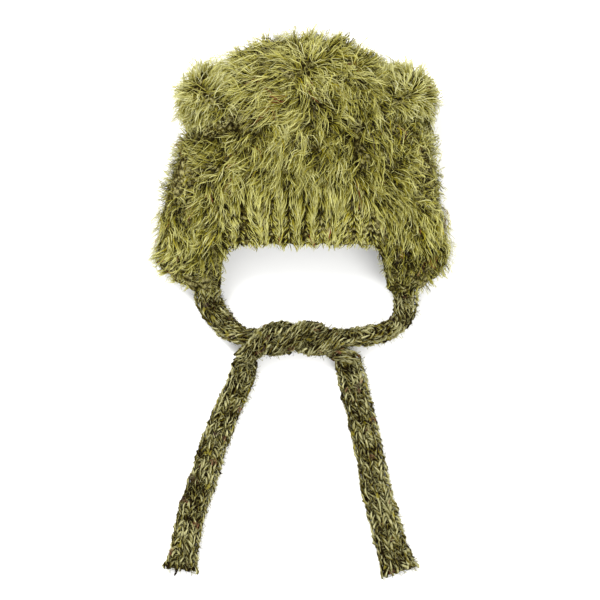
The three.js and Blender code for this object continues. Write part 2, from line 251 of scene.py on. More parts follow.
def crown_point(distance, length):
    """The crown's outer surface at a distance round it and a length down from its top."""
    angle = np.interp(np.mod(distance, full_girth), girth, girth_angles)
    return section_point(np.interp(length, outline, outline_rows), angle)


def grid_normals(grid):
    """Outward normals of a grid of points that closes on itself along its second axis."""
    down = np.gradient(grid, axis=0)
    around = np.roll(grid, -1, 1) - np.roll(grid, 1, 1)
    normal = np.cross(down, around)
    normal[0] = (0, 1, 0)
    return unit(normal)


def knit_relief(distance, to_edge):
    """How far the knitting stands out: columns of V stitches everywhere, and ribs by the edge."""
    wale = np.mod(distance / stitch_width, 1) - 0.5
    row = to_edge / stitch_height + leg_slant * np.abs(wale)
    stitches = stitch_relief * np.abs(np.sin(math.pi * row)) * (1 - 2.2 * wale**2)
    rib_angle = 2 * math.pi * (distance - rib_phase) / (full_girth / rib_count)
    ribbed = below(to_edge, ribbed_length, 5)
    return stitches - ribbed * rib_depth * np.cos(rib_angle)


# The wall's points round and down, and the length at the closed top over which its relief grows.
around_count = 312
down_count = 116
inner_down_count = 36
closed_top = 12
inner_relief_share = 0.6


def wall_grid(around, down):
    """Distances round the wall, lengths down from its top and lengths left to its edge, as grids."""
    distance = np.arange(around) / around * full_girth
    share = np.linspace(0, 1, down + 1)[1:]
    to_edge = length_to_edge(distance)
    length = share[:, None] * to_edge[None, :]
    distance = np.broadcast_to(distance, length.shape)
    return distance, length, to_edge[None, :] - length


def grid_faces(rows, columns, start, flip):
    """The quads of a grid that closes on itself along its rows, from the number of its first point."""
    faces = []
    for r in range(rows - 1):
        for c in range(columns):
            a = start + r * columns + c
            b = start + r * columns + (c + 1) % columns
            face = (a, a + columns, b + columns, b)
            faces.append(face[::-1] if flip else face)
    return faces


def crown_mesh():
    """The knitted wall: its outer surface with ribs and stitches, and its plainer inner one."""
    distance, length, to_edge = wall_grid(around_count, down_count)
    plain = crown_point(distance, length)
    fade = np.clip(length / closed_top, 0, 1)
    outer = plain + grid_normals(plain) * (knit_relief(distance, to_edge) * fade)[..., None]
    outer[..., 2] = np.maximum(outer[..., 2], 0)
    inner_distance, inner_length, inner_to_edge = wall_grid(around_count, inner_down_count)
    inner_plain = crown_point(inner_distance, inner_length)
    inner_rows = np.cos(2 * math.pi * inner_to_edge / stitch_height)
    inner_relief = inner_relief_share * stitch_relief * inner_rows
    inner = inner_plain - grid_normals(inner_plain) * (wall_thickness + inner_relief)[..., None]
    top = crown_point(np.array([0.0]), np.array([0.0]))
    inner_top = top - (0, wall_thickness, 0)
    points = np.concatenate([top, outer.reshape(-1, 3), inner.reshape(-1, 3), inner_top]) * mm
    faces = grid_faces(down_count, around_count, 1, False)
    inner_start = 1 + down_count * around_count
    faces += grid_faces(inner_down_count, around_count, inner_start, True)
    edge_start = inner_start - around_count
    inner_edge = inner_start + (inner_down_count - 1) * around_count
    last = len(points) - 1
    for c in range(around_count):
        n = (c + 1) % around_count
        faces.append((0, 1 + c, 1 + n))
        faces.append((last, inner_start + n, inner_start + c))
        faces.append((edge_start + c, inner_edge + c, inner_edge + n, edge_start + n))
    outer_uv = np.stack([distance / stitch_width, to_edge / stitch_height], -1)
    inner_uv = np.stack([inner_distance / stitch_width, inner_to_edge / stitch_height], -1)
    stitch_uv = np.zeros((len(points), 2))
    stitch_uv[1:inner_start] = outer_uv.reshape(-1, 2)
    stitch_uv[inner_start:last] = inner_uv.reshape(-1, 2)
    return points, faces, stitch_uv


def store(mesh, name, kind, values):
    """Stores values on a mesh's points under a name."""
    field = {"FLOAT": "value", "FLOAT_VECTOR": "vector"}[kind]
    attribute = mesh.attributes.new(name, kind, "POINT")
    attribute.data.foreach_set(field, np.asarray(values, np.float32).ravel())


points, faces, stitch_uv = crown_mesh()
crown_knit = mesh_object("crown_knit", points, faces)
store(crown_knit.data, "stitch", "FLOAT_VECTOR", np.column_stack([stitch_uv, np.zeros(len(points))]))


# What a math node does to its inputs.
plus = {"operation": "ADD"}
minus = {"operation": "SUBTRACT"}
times = {"operation": "MULTIPLY"}
times_plus = {"operation": "MULTIPLY_ADD"}
divided_by = {"operation": "DIVIDE"}
fraction = {"operation": "FRACT"}
without_sign = {"operation": "ABSOLUTE"}
sine = {"operation": "SINE"}
power = {"operation": "POWER"}
over_limit = {"operation": "GREATER_THAN"}
scaled_by = {"operation": "SCALE"}


def colour_stops(ramp, rows):
    """Sets a colour ramp's stops from rows of a position and a hex colour."""
    stops = ramp.color_ramp.elements
    for stop, (position, colour) in zip((stops[0], stops[1]), (rows[0], rows[-1])):
        stop.position = position
        stop.color = linear(colour)
    for position, colour in rows[1:-1]:
        stops.new(position).color = linear(colour)


def dyed_flecks(tree, place, size, share, colours):
    """Dyed colours in flecks of a size in millimetres, and a mask of the share that shows them."""
    dye = add(tree, "ShaderNodeTexVoronoi", {}, {"Vector": place, "Scale": 1 / (size * mm)})
    pick = add(tree, "ShaderNodeSeparateColor", {}, {"Color": dye.outputs["Color"]}).outputs
    dyes = add(tree, "ShaderNodeValToRGB", {}, {"Fac": pick["Red"]})
    dyes.color_ramp.interpolation = "CONSTANT"
    colour_stops(dyes, colours)
    return dyes, add(tree, "ShaderNodeMath", over_limit, {0: pick["Green"], 1: 1 - share})


# Tweed wool: a singles yarn in olive, cream and dark brown, hand-knitted and fully matt. The eye
# sees columns of V stitches, mottled every 3 mm and in patches of 22 mm, with painted shade that
# darkens the gaps between the stitches.
marl_size = 3.03
marl_patch_size = 22.2
wool_fibre_size = 0.714
stitch_bump_height = 1.2


def tweed_wool(name, dark, olive, cream, stitch_bump):
    material, tree, shader = new_material(name, 0.95, 0.05)
    place = add(tree, "ShaderNodeTexCoord", {}, {}).outputs["Object"]
    marl_scale = 1 / (marl_size * mm)
    patch_scale = 1 / (marl_patch_size * mm)
    fibre_scale = 1 / (wool_fibre_size * mm)
    marl_inputs = {"Vector": place, "Scale": marl_scale, "Detail": 3.0, "Roughness": 0.6}
    marl = add(tree, "ShaderNodeTexNoise", {}, marl_inputs)
    patch = add(tree, "ShaderNodeTexNoise", {}, {"Vector": place, "Scale": patch_scale, "Detail": 2.0})
    level = add(tree, "ShaderNodeMath", times_plus, {0: patch, 1: 0.5, 2: marl})
    ramp = add(tree, "ShaderNodeValToRGB", {}, {"Fac": level})
    colour_stops(ramp, [(0.6, dark), (0.74, olive), (0.9, cream)])
    stitch = add(tree, "ShaderNodeAttribute", {"attribute_name": "stitch"}, {}).outputs["Vector"]
    parts = add(tree, "ShaderNodeSeparateXYZ", {}, {"Vector": stitch}).outputs
    wale = add(tree, "ShaderNodeMath", fraction, {0: parts["X"]})
    centred = add(tree, "ShaderNodeMath", minus, {0: wale, 1: 0.5})
    lean = add(tree, "ShaderNodeMath", without_sign, {0: centred})
    row = add(tree, "ShaderNodeMath", times_plus, {0: lean, 1: leg_slant, 2: parts["Y"]})
    turn = add(tree, "ShaderNodeMath", times, {0: row, 1: math.pi})
    wave = add(tree, "ShaderNodeMath", sine, {0: turn})
    loop = add(tree, "ShaderNodeMath", without_sign, {0: wave})
    # Painted shade: the colour is darkened to a quarter in the gaps between the rows of stitches.
    gap = add(
        tree,
        "ShaderNodeMapRange",
        {},
        {"Value": loop, "From Min": 0.1, "From Max": 0.6, "To Min": 0.25, "To Max": 1.0},
    )
    shaded = add(
        tree,
        "ShaderNodeMix",
        {"data_type": "RGBA", "blend_type": "MULTIPLY"},
        {"Factor": 1.0, 6: ramp, 7: gap},
    )
    tree.links.new(shaded.outputs[2], shader.inputs["Base Color"])
    fibre = add(tree, "ShaderNodeTexNoise", {}, {"Vector": place, "Scale": fibre_scale, "Detail": 2.0})
    height = add(tree, "ShaderNodeMath", times_plus, {0: loop, 1: 1.5, 2: fibre})
    bump = add(
        tree,
        "ShaderNodeBump",
        {},
        {"Strength": stitch_bump, "Distance": stitch_bump_height * mm, "Height": height},
    )
    tree.links.new(bump.outputs["Normal"], shader.inputs["Normal"])
    return material


crown_wool = tweed_wool("tweed_wool_knit", "#140e03", "#433b12", "#8f895a", 0.8)
crown_knit.data.materials.append(crown_wool)
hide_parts("crown")
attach(crown_knit, "root")

# Pile: the yarn's long fibres, brushed out of the knitting. They lie in combed locks that wave with
# their neighbours over dark gaps, part at a whorl by the top, draw together on the ribs and hang
# over the brim, with a fine halo along the outline.
pile_sides = 3
strand_taper = 0.45
strand_sway = 0.05
strand_arc = 0.66
strand_flatness = 0.035
# What a skin says of its pile at each point. The gather is how far the tips are pulled aside.
pile_fields = {
    "comb": "FLOAT_VECTOR",
    "pile_length": "FLOAT",
    "pile_density": "FLOAT",
    "pile_scatter": "FLOAT",
    "pile_swirl": "FLOAT",
    "pile_lock": "FLOAT",
    "pile_curl": "FLOAT",
    "pile_light": "FLOAT",
    "gather": "FLOAT_VECTOR",
}


def dress(skin, **values):
    """Stores a pile's fields on its skin. One number or vector stands for every point."""
    count = len(skin.data.vertices)
    for name, kind in pile_fields.items():
        shape = (count, 3) if kind == "FLOAT_VECTOR" else (count,)
        store(skin.data, name, kind, np.broadcast_to(values[name], shape))


def strand_template(name, rings, lift):
    """A tapering strand a metre long along +X, rising in an arc along +Z, a metre across at its root.

    Its height is scaled with its length later on, so its section is drawn flat here."""
    points = []
    along = []
    for t in rings:
        radius = 0.5 * (1 - strand_taper * t**2)
        sway = strand_sway * math.sin(math.pi * t)
        centre = np.array([t, sway, lift * math.sin(strand_arc * math.pi * t)])
        for side in range(pile_sides):
            angle = math.pi / 2 + side * 2 * math.pi / pile_sides
            rise = strand_flatness * radius * math.sin(angle)
            points.append(centre + (0, radius * math.cos(angle), rise))
            along.append(t)
    points.append((1.0, 0.0, lift * math.sin(strand_arc * math.pi)))
    along.append(1.0)
    faces = [tuple(range(pile_sides)), *grid_faces(len(rings), pile_sides, 0, False)]
    last_ring = (len(rings) - 1) * pile_sides
    for side in range(pile_sides):
        faces.append((last_ring + side, len(points) - 1, last_ring + (side + 1) % pile_sides))
    made = mesh_object(name, points, faces)
    store(made.data, "along", "FLOAT", along)
    return made


wave_run = 6
table_gap = 0.4


def new_tree(name, sizes, result):
    """A tree of geometry nodes with named inputs and one result, and its inputs' sockets."""
    tree = bpy.data.node_groups.new(name, "GeometryNodeTree")
    for size, kind in sizes:
        tree.interface.new_socket(size, in_out="INPUT", socket_type=kind)
    tree.interface.new_socket(result, in_out="OUTPUT", socket_type="NodeSocketGeometry")
    return tree, add(tree, "NodeGroupInput", {}, {}).outputs


def pile_tree():
    """Stands strands on a skin along its comb, gathers them in locks, and waves and curls them."""
    measures = ["Density", "Length", "Width", "Disorder", "Lock Size", "Lock Pull", "Lock Tone"]
    measures += ["Wave Size", "Wave Reach", "Curl Turns", "Curl Reach", "Swirl Size", "Swirl"]
    measures += ["Patch Size", "Patchiness"]
    sizes = [("Skin", "NodeSocketGeometry"), ("Strand", "NodeSocketObject")]
    sizes += [(name, "NodeSocketFloat") for name in measures]
    sizes += [("Seed", "NodeSocketInt"), ("Finish", "NodeSocketMaterial")]
    tree, given = new_tree("combed_pile", sizes, "Pile")

    # The fields that are read, of the skin and then of the strands, the scale of each pattern, and
    # the random numbers of each strand.
    here = add(tree, "GeometryNodeInputPosition", {}, {})
    strand_fields = {
        "along": "FLOAT",
        "root": "FLOAT_VECTOR",
        "lock": "FLOAT_VECTOR",
        "aside": "FLOAT_VECTOR",
        "phase": "FLOAT",
    }
    field = {}
    for name, kind in {**pile_fields, **strand_fields}.items():
        field[name] = add(tree, "GeometryNodeInputNamedAttribute", {"data_type": kind}, {"Name": name})
    scale = {}
    for name in ("Patch Size", "Lock Size", "Swirl Size", "Wave Size"):
        scale[name] = add(tree, "ShaderNodeMath", divided_by, {0: 1.0, 1: given[name]})
    chances = [
        ("length", 0.65, 1.15, 11),
        ("width", 0.6, 1.5, 12),
        ("tone", 0.0, 1.0, 13),
        ("phase", 0.0, 0.6, 14),
    ]
    chance = {}
    for name, low, high, extra in chances:
        seed = add(tree, "ShaderNodeMath", plus, {0: given["Seed"], 1: extra})
        drawn = add(tree, "FunctionNodeRandomValue", {"data_type": "FLOAT"}, {2: low, 3: high, "Seed": seed})
        chance[name] = drawn.outputs[1]
    half = (0.5, 0.5, 0.5)

    # The roots stand at random, and fewer of them where a patch is bare.
    patch_inputs = {"Vector": here, "Scale": scale["Patch Size"], "Detail": 1.0}
    patches = add(tree, "ShaderNodeTexNoise", {}, patch_inputs)
    bare = add(
        tree,
        "ShaderNodeMapRange",
        {},
        {"Value": patches, "From Min": 0.58, "From Max": 0.42, "To Min": 0.0, "To Max": given["Patchiness"]},
    )
    kept = add(tree, "ShaderNodeMath", minus, {0: 1.0, 1: bare})
    patchy = add(tree, "ShaderNodeMath", times, {0: given["Density"], 1: kept})
    density = add(tree, "ShaderNodeMath", times, {0: patchy, 1: field["pile_density"]})
    roots = add(
        tree,
        "GeometryNodeDistributePointsOnFaces",
        {"distribute_method": "RANDOM"},
        {"Mesh": given["Skin"], "Density": density, "Seed": given["Seed"]},
    )

    # A strand's heading is the comb's, turned aside by its lock, by itself and by eddies.
    lock = add(
        tree,
        "ShaderNodeTexVoronoi",
        {"feature": "F1"},
        {"Vector": here, "Scale": scale["Lock Size"], "Randomness": 1.0},
    ).outputs
    lock_chance = add(tree, "ShaderNodeVectorMath", minus, {0: lock["Color"], 1: half})
    own = add(
        tree,
        "FunctionNodeRandomValue",
        {"data_type": "FLOAT_VECTOR"},
        {0: (-0.5,) * 3, 1: (0.5,) * 3, "Seed": given["Seed"]},
    )
    lock_turn = add(tree, "ShaderNodeVectorMath", scaled_by, {0: lock_chance, "Scale": 2.0})
    own_turn = add(tree, "ShaderNodeVectorMath", scaled_by, {0: own, "Scale": 0.7})
    mixed = add(tree, "ShaderNodeVectorMath", plus, {0: lock_turn, 1: own_turn})
    disorder = add(tree, "ShaderNodeMath", times, {0: given["Disorder"], 1: field["pile_scatter"]})
    astray = add(tree, "ShaderNodeVectorMath", scaled_by, {0: mixed, "Scale": disorder})
    eddy_inputs = {"Vector": here, "Scale": scale["Swirl Size"], "Detail": 1.0}
    eddies = add(tree, "ShaderNodeTexNoise", {}, eddy_inputs)
    eddy = add(tree, "ShaderNodeVectorMath", minus, {0: eddies.outputs["Color"], 1: half})
    eddy_reach = add(tree, "ShaderNodeMath", times, {0: given["Swirl"], 1: field["pile_swirl"]})
    swirl = add(tree, "ShaderNodeVectorMath", scaled_by, {0: eddy, "Scale": eddy_reach})
    turned_aside = add(tree, "ShaderNodeVectorMath", plus, {0: astray, 1: swirl})
    combed = add(tree, "ShaderNodeVectorMath", plus, {0: field["comb"], 1: turned_aside})
    facing = add(
        tree,
        "FunctionNodeAxesToRotation",
        {"primary_axis": "Z", "secondary_axis": "X"},
        {0: roots.outputs["Normal"], 1: combed},
    )

    # Its length, tone and bend are partly its lock's and partly its own.
    parts = add(tree, "ShaderNodeSeparateXYZ", {}, {0: lock["Color"]}).outputs
    usual = add(tree, "ShaderNodeMath", times, {0: field["pile_length"], 1: given["Length"]})
    over_middle = add(tree, "ShaderNodeMath", minus, {0: parts[2], 1: 0.5})
    uneven = add(tree, "ShaderNodeMath", times, {0: over_middle, 1: field["pile_lock"]})
    lock_share = add(tree, "ShaderNodeMath", times_plus, {0: uneven, 1: 0.6, 2: 1.0})
    lock_length = add(tree, "ShaderNodeMath", times, {0: usual, 1: lock_share})
    length = add(tree, "ShaderNodeMath", times, {0: lock_length, 1: chance["length"]})
    width = add(tree, "ShaderNodeMath", times, {0: given["Width"], 1: chance["width"]})
    size = add(tree, "ShaderNodeCombineXYZ", {}, {0: length, 1: width, 2: length})
    tone_inputs = {0: parts[0], 1: given["Lock Tone"], 2: chance["tone"]}
    two_tones = add(tree, "ShaderNodeMath", times_plus, tone_inputs)
    tone_range = add(tree, "ShaderNodeMath", plus, {0: given["Lock Tone"], 1: 1.0})
    even_tone = add(tree, "ShaderNodeMath", divided_by, {0: two_tones, 1: tone_range})
    tone = add(tree, "ShaderNodeMath", plus, {0: even_tone, 1: field["pile_light"]})
    turned = add(tree, "ShaderNodeCombineXYZ", {}, {0: parts[1], 1: parts[2], 2: parts[0]})
    lock_aside = add(tree, "ShaderNodeVectorMath", minus, {0: turned, 1: half})
    own_aside = add(tree, "ShaderNodeVectorMath", scaled_by, {0: own, "Scale": 0.25})
    both_aside = add(tree, "ShaderNodeVectorMath", plus, {0: lock_aside, 1: own_aside})
    aside = add(tree, "ShaderNodeVectorMath", times, {0: both_aside, 1: (2.0, 2.0, 0.8)})
    phase = add(tree, "ShaderNodeMath", times_plus, {0: parts[1], 1: 6.0, 2: chance["phase"]})
    kept_values = [
        ("root", "FLOAT_VECTOR", here),
        ("lock", "FLOAT_VECTOR", lock["Position"]),
        ("aside", "FLOAT_VECTOR", aside),
        ("shade", "FLOAT", tone),
        ("phase", "FLOAT", phase),
    ]
    points = roots.outputs["Points"]
    for name, kind, value in kept_values:
        points = add(
            tree,
            "GeometryNodeStoreNamedAttribute",
            {"data_type": kind, "domain": "POINT"},
            {"Geometry": points, "Name": name, "Value": value},
        )
    strand = add(tree, "GeometryNodeObjectInfo", {}, {"Object": given["Strand"]}).outputs["Geometry"]
    planted = add(
        tree,
        "GeometryNodeInstanceOnPoints",
        {},
        {"Points": points, "Instance": strand, "Rotation": facing, "Scale": size},
    )
    real = add(tree, "GeometryNodeRealizeInstances", {}, {0: planted})

    # Towards its tip, a strand draws in to the middle of its lock, waves with its neighbours, curls
    # with its lock, and goes where the gather pulls it. No point sinks into the table.
    along = field["along"]
    start = field["phase"]
    to_lock = add(tree, "ShaderNodeVectorMath", minus, {0: field["lock"], 1: field["root"]})
    rest = add(tree, "ShaderNodeMath", minus, {0: 1.0, 1: along})
    open_share = add(tree, "ShaderNodeMath", times, {0: rest, 1: rest})
    closed = add(tree, "ShaderNodeMath", minus, {0: 1.0, 1: open_share})
    pulled = add(tree, "ShaderNodeMath", times, {0: closed, 1: given["Lock Pull"]})
    pull = add(tree, "ShaderNodeMath", times, {0: pulled, 1: field["pile_lock"]})
    drawn_in = add(tree, "ShaderNodeVectorMath", scaled_by, {0: to_lock, "Scale": pull})
    run = add(tree, "ShaderNodeMath", times, {0: along, 1: wave_run * mm})
    run_on = add(tree, "ShaderNodeVectorMath", scaled_by, {0: field["comb"], "Scale": run})
    wave_place = add(tree, "ShaderNodeVectorMath", plus, {0: field["root"], 1: run_on})
    wave_inputs = {"Vector": wave_place, "Scale": scale["Wave Size"], "Detail": 1.0}
    waves = add(tree, "ShaderNodeTexNoise", {}, wave_inputs)
    swing = add(tree, "ShaderNodeVectorMath", minus, {0: waves.outputs["Color"], 1: half})
    wave_reach = add(tree, "ShaderNodeMath", times, {0: along, 1: given["Wave Reach"]})
    swung = add(tree, "ShaderNodeVectorMath", scaled_by, {0: swing, "Scale": wave_reach})
    turns = add(tree, "ShaderNodeMath", times, {0: along, 1: given["Curl Turns"]})
    curl_phase = add(tree, "ShaderNodeMath", times_plus, {0: turns, 1: 2 * math.pi, 2: start})
    end_bend = add(tree, "ShaderNodeMath", sine, {0: curl_phase})
    start_bend = add(tree, "ShaderNodeMath", sine, {0: start})
    bend = add(tree, "ShaderNodeMath", minus, {0: end_bend, 1: start_bend})
    curl_reach = add(tree, "ShaderNodeMath", times, {0: bend, 1: given["Curl Reach"]})
    curl = add(tree, "ShaderNodeVectorMath", scaled_by, {0: field["aside"], "Scale": curl_reach})
    swung_curl = add(tree, "ShaderNodeVectorMath", plus, {0: swung, 1: curl})
    waved = add(tree, "ShaderNodeVectorMath", scaled_by, {0: swung_curl, "Scale": field["pile_curl"]})
    gathering = add(tree, "ShaderNodeMath", power, {0: along, 1: 1.2})
    gathered = add(tree, "ShaderNodeVectorMath", scaled_by, {0: field["gather"], "Scale": gathering})
    drawn_waved = add(tree, "ShaderNodeVectorMath", plus, {0: drawn_in, 1: waved})
    offset = add(tree, "ShaderNodeVectorMath", plus, {0: drawn_waved, 1: gathered})
    moved = add(tree, "GeometryNodeSetPosition", {}, {"Geometry": real, "Offset": offset})
    spot = add(tree, "ShaderNodeSeparateXYZ", {}, {0: here}).outputs
    height = add(tree, "ShaderNodeMath", {"operation": "MAXIMUM"}, {0: spot[2], 1: table_gap * mm})
    lifted = add(tree, "ShaderNodeCombineXYZ", {}, {0: spot[0], 1: spot[1], 2: height})
    on_table = add(tree, "GeometryNodeSetPosition", {}, {"Geometry": moved, "Position": lifted})
    finished = add(tree, "GeometryNodeSetMaterial", {}, {"Geometry": on_table, "Material": given["Finish"]})
    add(tree, "NodeGroupOutput", {}, {0: finished})
    return tree


def grown(name, skin, tree, values):
    """A plain mesh object of what a tree of nodes makes on a skin."""
    modifier = skin.modifiers.new("growth", "NODES")
    modifier.node_group = tree
    for socket in tree.interface.items_tree:
        if socket.in_out == "INPUT" and socket.name in values:
            modifier[socket.identifier] = values[socket.name]
    ready = skin.evaluated_get(bpy.context.evaluated_depsgraph_get())
    mesh = bpy.data.meshes.new_from_object(ready)
    mesh.name = name
    skin.modifiers.remove(modifier)
    made = bpy.data.objects.new(name, mesh)
    bpy.context.collection.objects.link(made)
    return made


# The pile's lie on the front. Each row is a place in millimetres and its heading in degrees, 0 to
# the right and 90 towards the top of the crown.
Heading = namedtuple("Heading", "x y heading")
pile_lie = [
    Heading(-50, 88, 130),
    Heading(-32, 94, 118),
    Heading(-14, 99, 95),
    Heading(22, 99, 80),
    Heading(40, 94, 50),
    Heading(52, 88, 35),
    Heading(-22, 78, 160),
    Heading(-32, 66, 185),
    Heading(-14, 60, 190),
    Heading(26, 82, 20),
    Heading(28, 64, -55),
    Heading(12, 54, -40),
    Heading(-6, 42, 200),
    Heading(-32, 48, 215),
    Heading(-16, 22, -95),
    Heading(-32, 12, -100),
    Heading(-48, -4, -130),
    Heading(34, 32, -60),
    Heading(46, 24, -75),
    Heading(66, 8, -60),
    Heading(22, 8, -90),
    Heading(-78, 8, -160),
    Heading(-18, -32, -90),
    Heading(22, -32, -90),
    Heading(40, -42, -110),
    Heading(102, 0, -80),
    Heading(-113, -34, -125),
    Heading(-98, -36, -46),
    Heading(-80, -34, -138),
    Heading(-58, -32, -75),
    Heading(-115, -54, -122),
    Heading(-99, -54, -46),
    Heading(-76, -54, -134),
    Heading(-57, -52, -55),
    Heading(-112, -76, -165),
    Heading(-98, -76, -140),
    Heading(-80, -76, -110),
    Heading(-64, -80, -92),
    Heading(-58, -68, -92),
    Heading(-106, -90, -160),
    Heading(-92, -92, -140),
    Heading(-80, -98, -110),
    Heading(66, -20, -30),
    Heading(66, -36, -55),
    Heading(82, -22, -60),
    Heading(98, -24, -100),
    Heading(112, -28, -75),
    Heading(66, -54, -62),
    Heading(80, -44, -125),
    Heading(96, -46, -50),
    Heading(112, -50, -88),
    Heading(70, -74, -85),
    Heading(84, -72, -75),
    Heading(98, -72, -60),
    Heading(113, -76, -50),
    Heading(92, -92, -80),
    Heading(76, -94, -88),
]
lie_reach = 9
# How long the strands are on top, in the columns between the ribs and elsewhere.
top_length = 16.5
rib_length = 11
stitch_leg = 6
halo_length = 5.5
side_length = 9
flap_length = 13
rim_length = 10
back_length = 9


def pile_heading(x, y):
    """The direction that the pile is combed in at a place on the front."""
    rows = np.array(pile_lie, float)
    heading = np.radians(rows[:, 2])
    gap = (x[:, None] - rows[:, 0]) ** 2 + (y[:, None] - rows[:, 1]) ** 2
    weight = np.exp(-gap / (2 * lie_reach**2)) + 1e-6 / (gap + 1)
    weight /= weight.sum(1, keepdims=True)
    return np.stack([weight @ np.cos(heading), weight @ np.sin(heading)], -1)


def blob(x, y, centre_x, centre_y, radius):
    return np.exp(-((x - centre_x) ** 2 + (y - centre_y) ** 2) / radius**2)


def slope(value, start, end):
    """0 up to a start and 1 from an end on, in a straight line between them."""
    return np.clip((value - start) / (end - start), 0, 1)


def within(value, limits):
    return (value > limits[0]) & (value <= limits[1])


# The two ears: where they sit and face and where their pile parts, in millimetres, how pale it is,
# and how much painted shade darkens the crown's pile in the crease below them.
Ear = namedtuple("Ear", "name centre facing parting_start parting_end light crease")
ears = [
    Ear("ear_left", (-73.5, 48, 40), (-0.34, 0.18, 1), (-5, 8), (9, -7), 0.04, 0.35),
    Ear("ear_right", (79, 47, 40), (0.34, 0.14, 1), (-8, -4), (4, 3), -0.06, 0.12),
]
# Places where the crown's pile is thin and the dark knitting shows, in millimetres.
ThinPlace = namedtuple("ThinPlace", "x y radius")
thin_places = [
    ThinPlace(-44, 30, 8),
    ThinPlace(40, 28, 12),
    ThinPlace(66, 60, 6),
    ThinPlace(12, 50, 7),
    ThinPlace(-76, -8, 6),
    ThinPlace(-58, 3, 6),
    ThinPlace(-36, -4, 9),
    ThinPlace(72, -70, 8),
    ThinPlace(80, -98, 9),
    ThinPlace(-76, -100, 12),
    ThinPlace(-90, -84, 6),
    ThinPlace(-70, -84, 5),
    ThinPlace(96, -2, 12),
    ThinPlace(-96, -8, 14),
    ThinPlace(88, -20, 10),
]
# Places where the pile is paler, or darker and thinner, than elsewhere, in millimetres.
TonePlace = namedtuple("TonePlace", "x y radius light")
tone_places = [
    TonePlace(-16, 18, 16, 0.28),
    TonePlace(8, 67, 11, 0.14),
    TonePlace(4, 38, 9, 0.15),
    TonePlace(-62, -48, 15, 0.16),
    TonePlace(-20, -48, 13, 0.12),
    TonePlace(-102, -72, 13, 0.18),
    TonePlace(96, -50, 15, 0.12),
    TonePlace(73, -92, 9, 0.15),
    TonePlace(16, -3, 11, -0.2),
    TonePlace(44, 0, 12, -0.27),
    TonePlace(66, 10, 13, -0.2),
    TonePlace(30, 10, 9, -0.18),
    TonePlace(34, 42, 12, -0.16),
    TonePlace(-50, 38, 12, -0.13),
    TonePlace(-64, 17, 12, -0.1),
    TonePlace(-100, -19, 9, -0.18),
    TonePlace(16, 96, 11, -0.12),
    TonePlace(-78, -94, 10, -0.22),
    TonePlace(60, 60, 5, -0.3),
    TonePlace(-46, 30, 7, -0.25),
    TonePlace(-40, 40, 8, -0.22),
    TonePlace(-78, -6, 14, -0.1),
    TonePlace(-46, -24, 12, -0.16),
    TonePlace(73, -19, 9, 0.12),
    TonePlace(-28, -62, 7, -0.12),
    TonePlace(100, -90, 8, -0.15),
    TonePlace(-90, -88, 6, 0.1),
]
# The whorl's place and radius, the radius round an ear where the crown has hardly any pile, and
# the two columns between ribs that the pile grows over.
whorl = (3, 79, 9)
ear_shade = 25
overgrown_columns = (rib_count - 3, 2)
ridge_pull = 0.85
# Where parts of the crown begin, out from its middle or up from there, in millimetres.
outer_start = 62
side_start = 86
side_top = 40
side_foot = -34
hanging_top = -32
flap_top = -68
brim_halo_start = -60
# How far the strands at the rim stand outwards at the left, more at its lower part, and at the
# right, and how those at the left flap's outer corner are pulled.
left_reach = 6.5
low_left_reach = 2.5
right_reach = 4
left_corner = (-112, -70, 14)
left_corner_pull = (-3, -3, 0)
# The shares that the length is cut by on the edge of the dome, at the whorl and at the flaps'
# foot, and that it grows by at the dome's upper left.
crest_cut = 0.46
whorl_cut = 0.25
foot_cut = 0.5
tuft = (-52, 86, 14)
tuft_growth = 0.5
# How much paler the tips are on each part, or darker below zero. The rim, foot and halo values
# are painted light, pale outline strands as if lit through, and the left edge's value takes some
# of it back.
rim_painted_light = 0.3
dome_light = 0.04
flap_light = -0.2
ridge_light = 0.1
whorl_light = 0.45
foot_painted_light = 0.4
left_edge_light = -0.25
halo_painted_light = 0.45
skin_around = 440
skin_down = 120


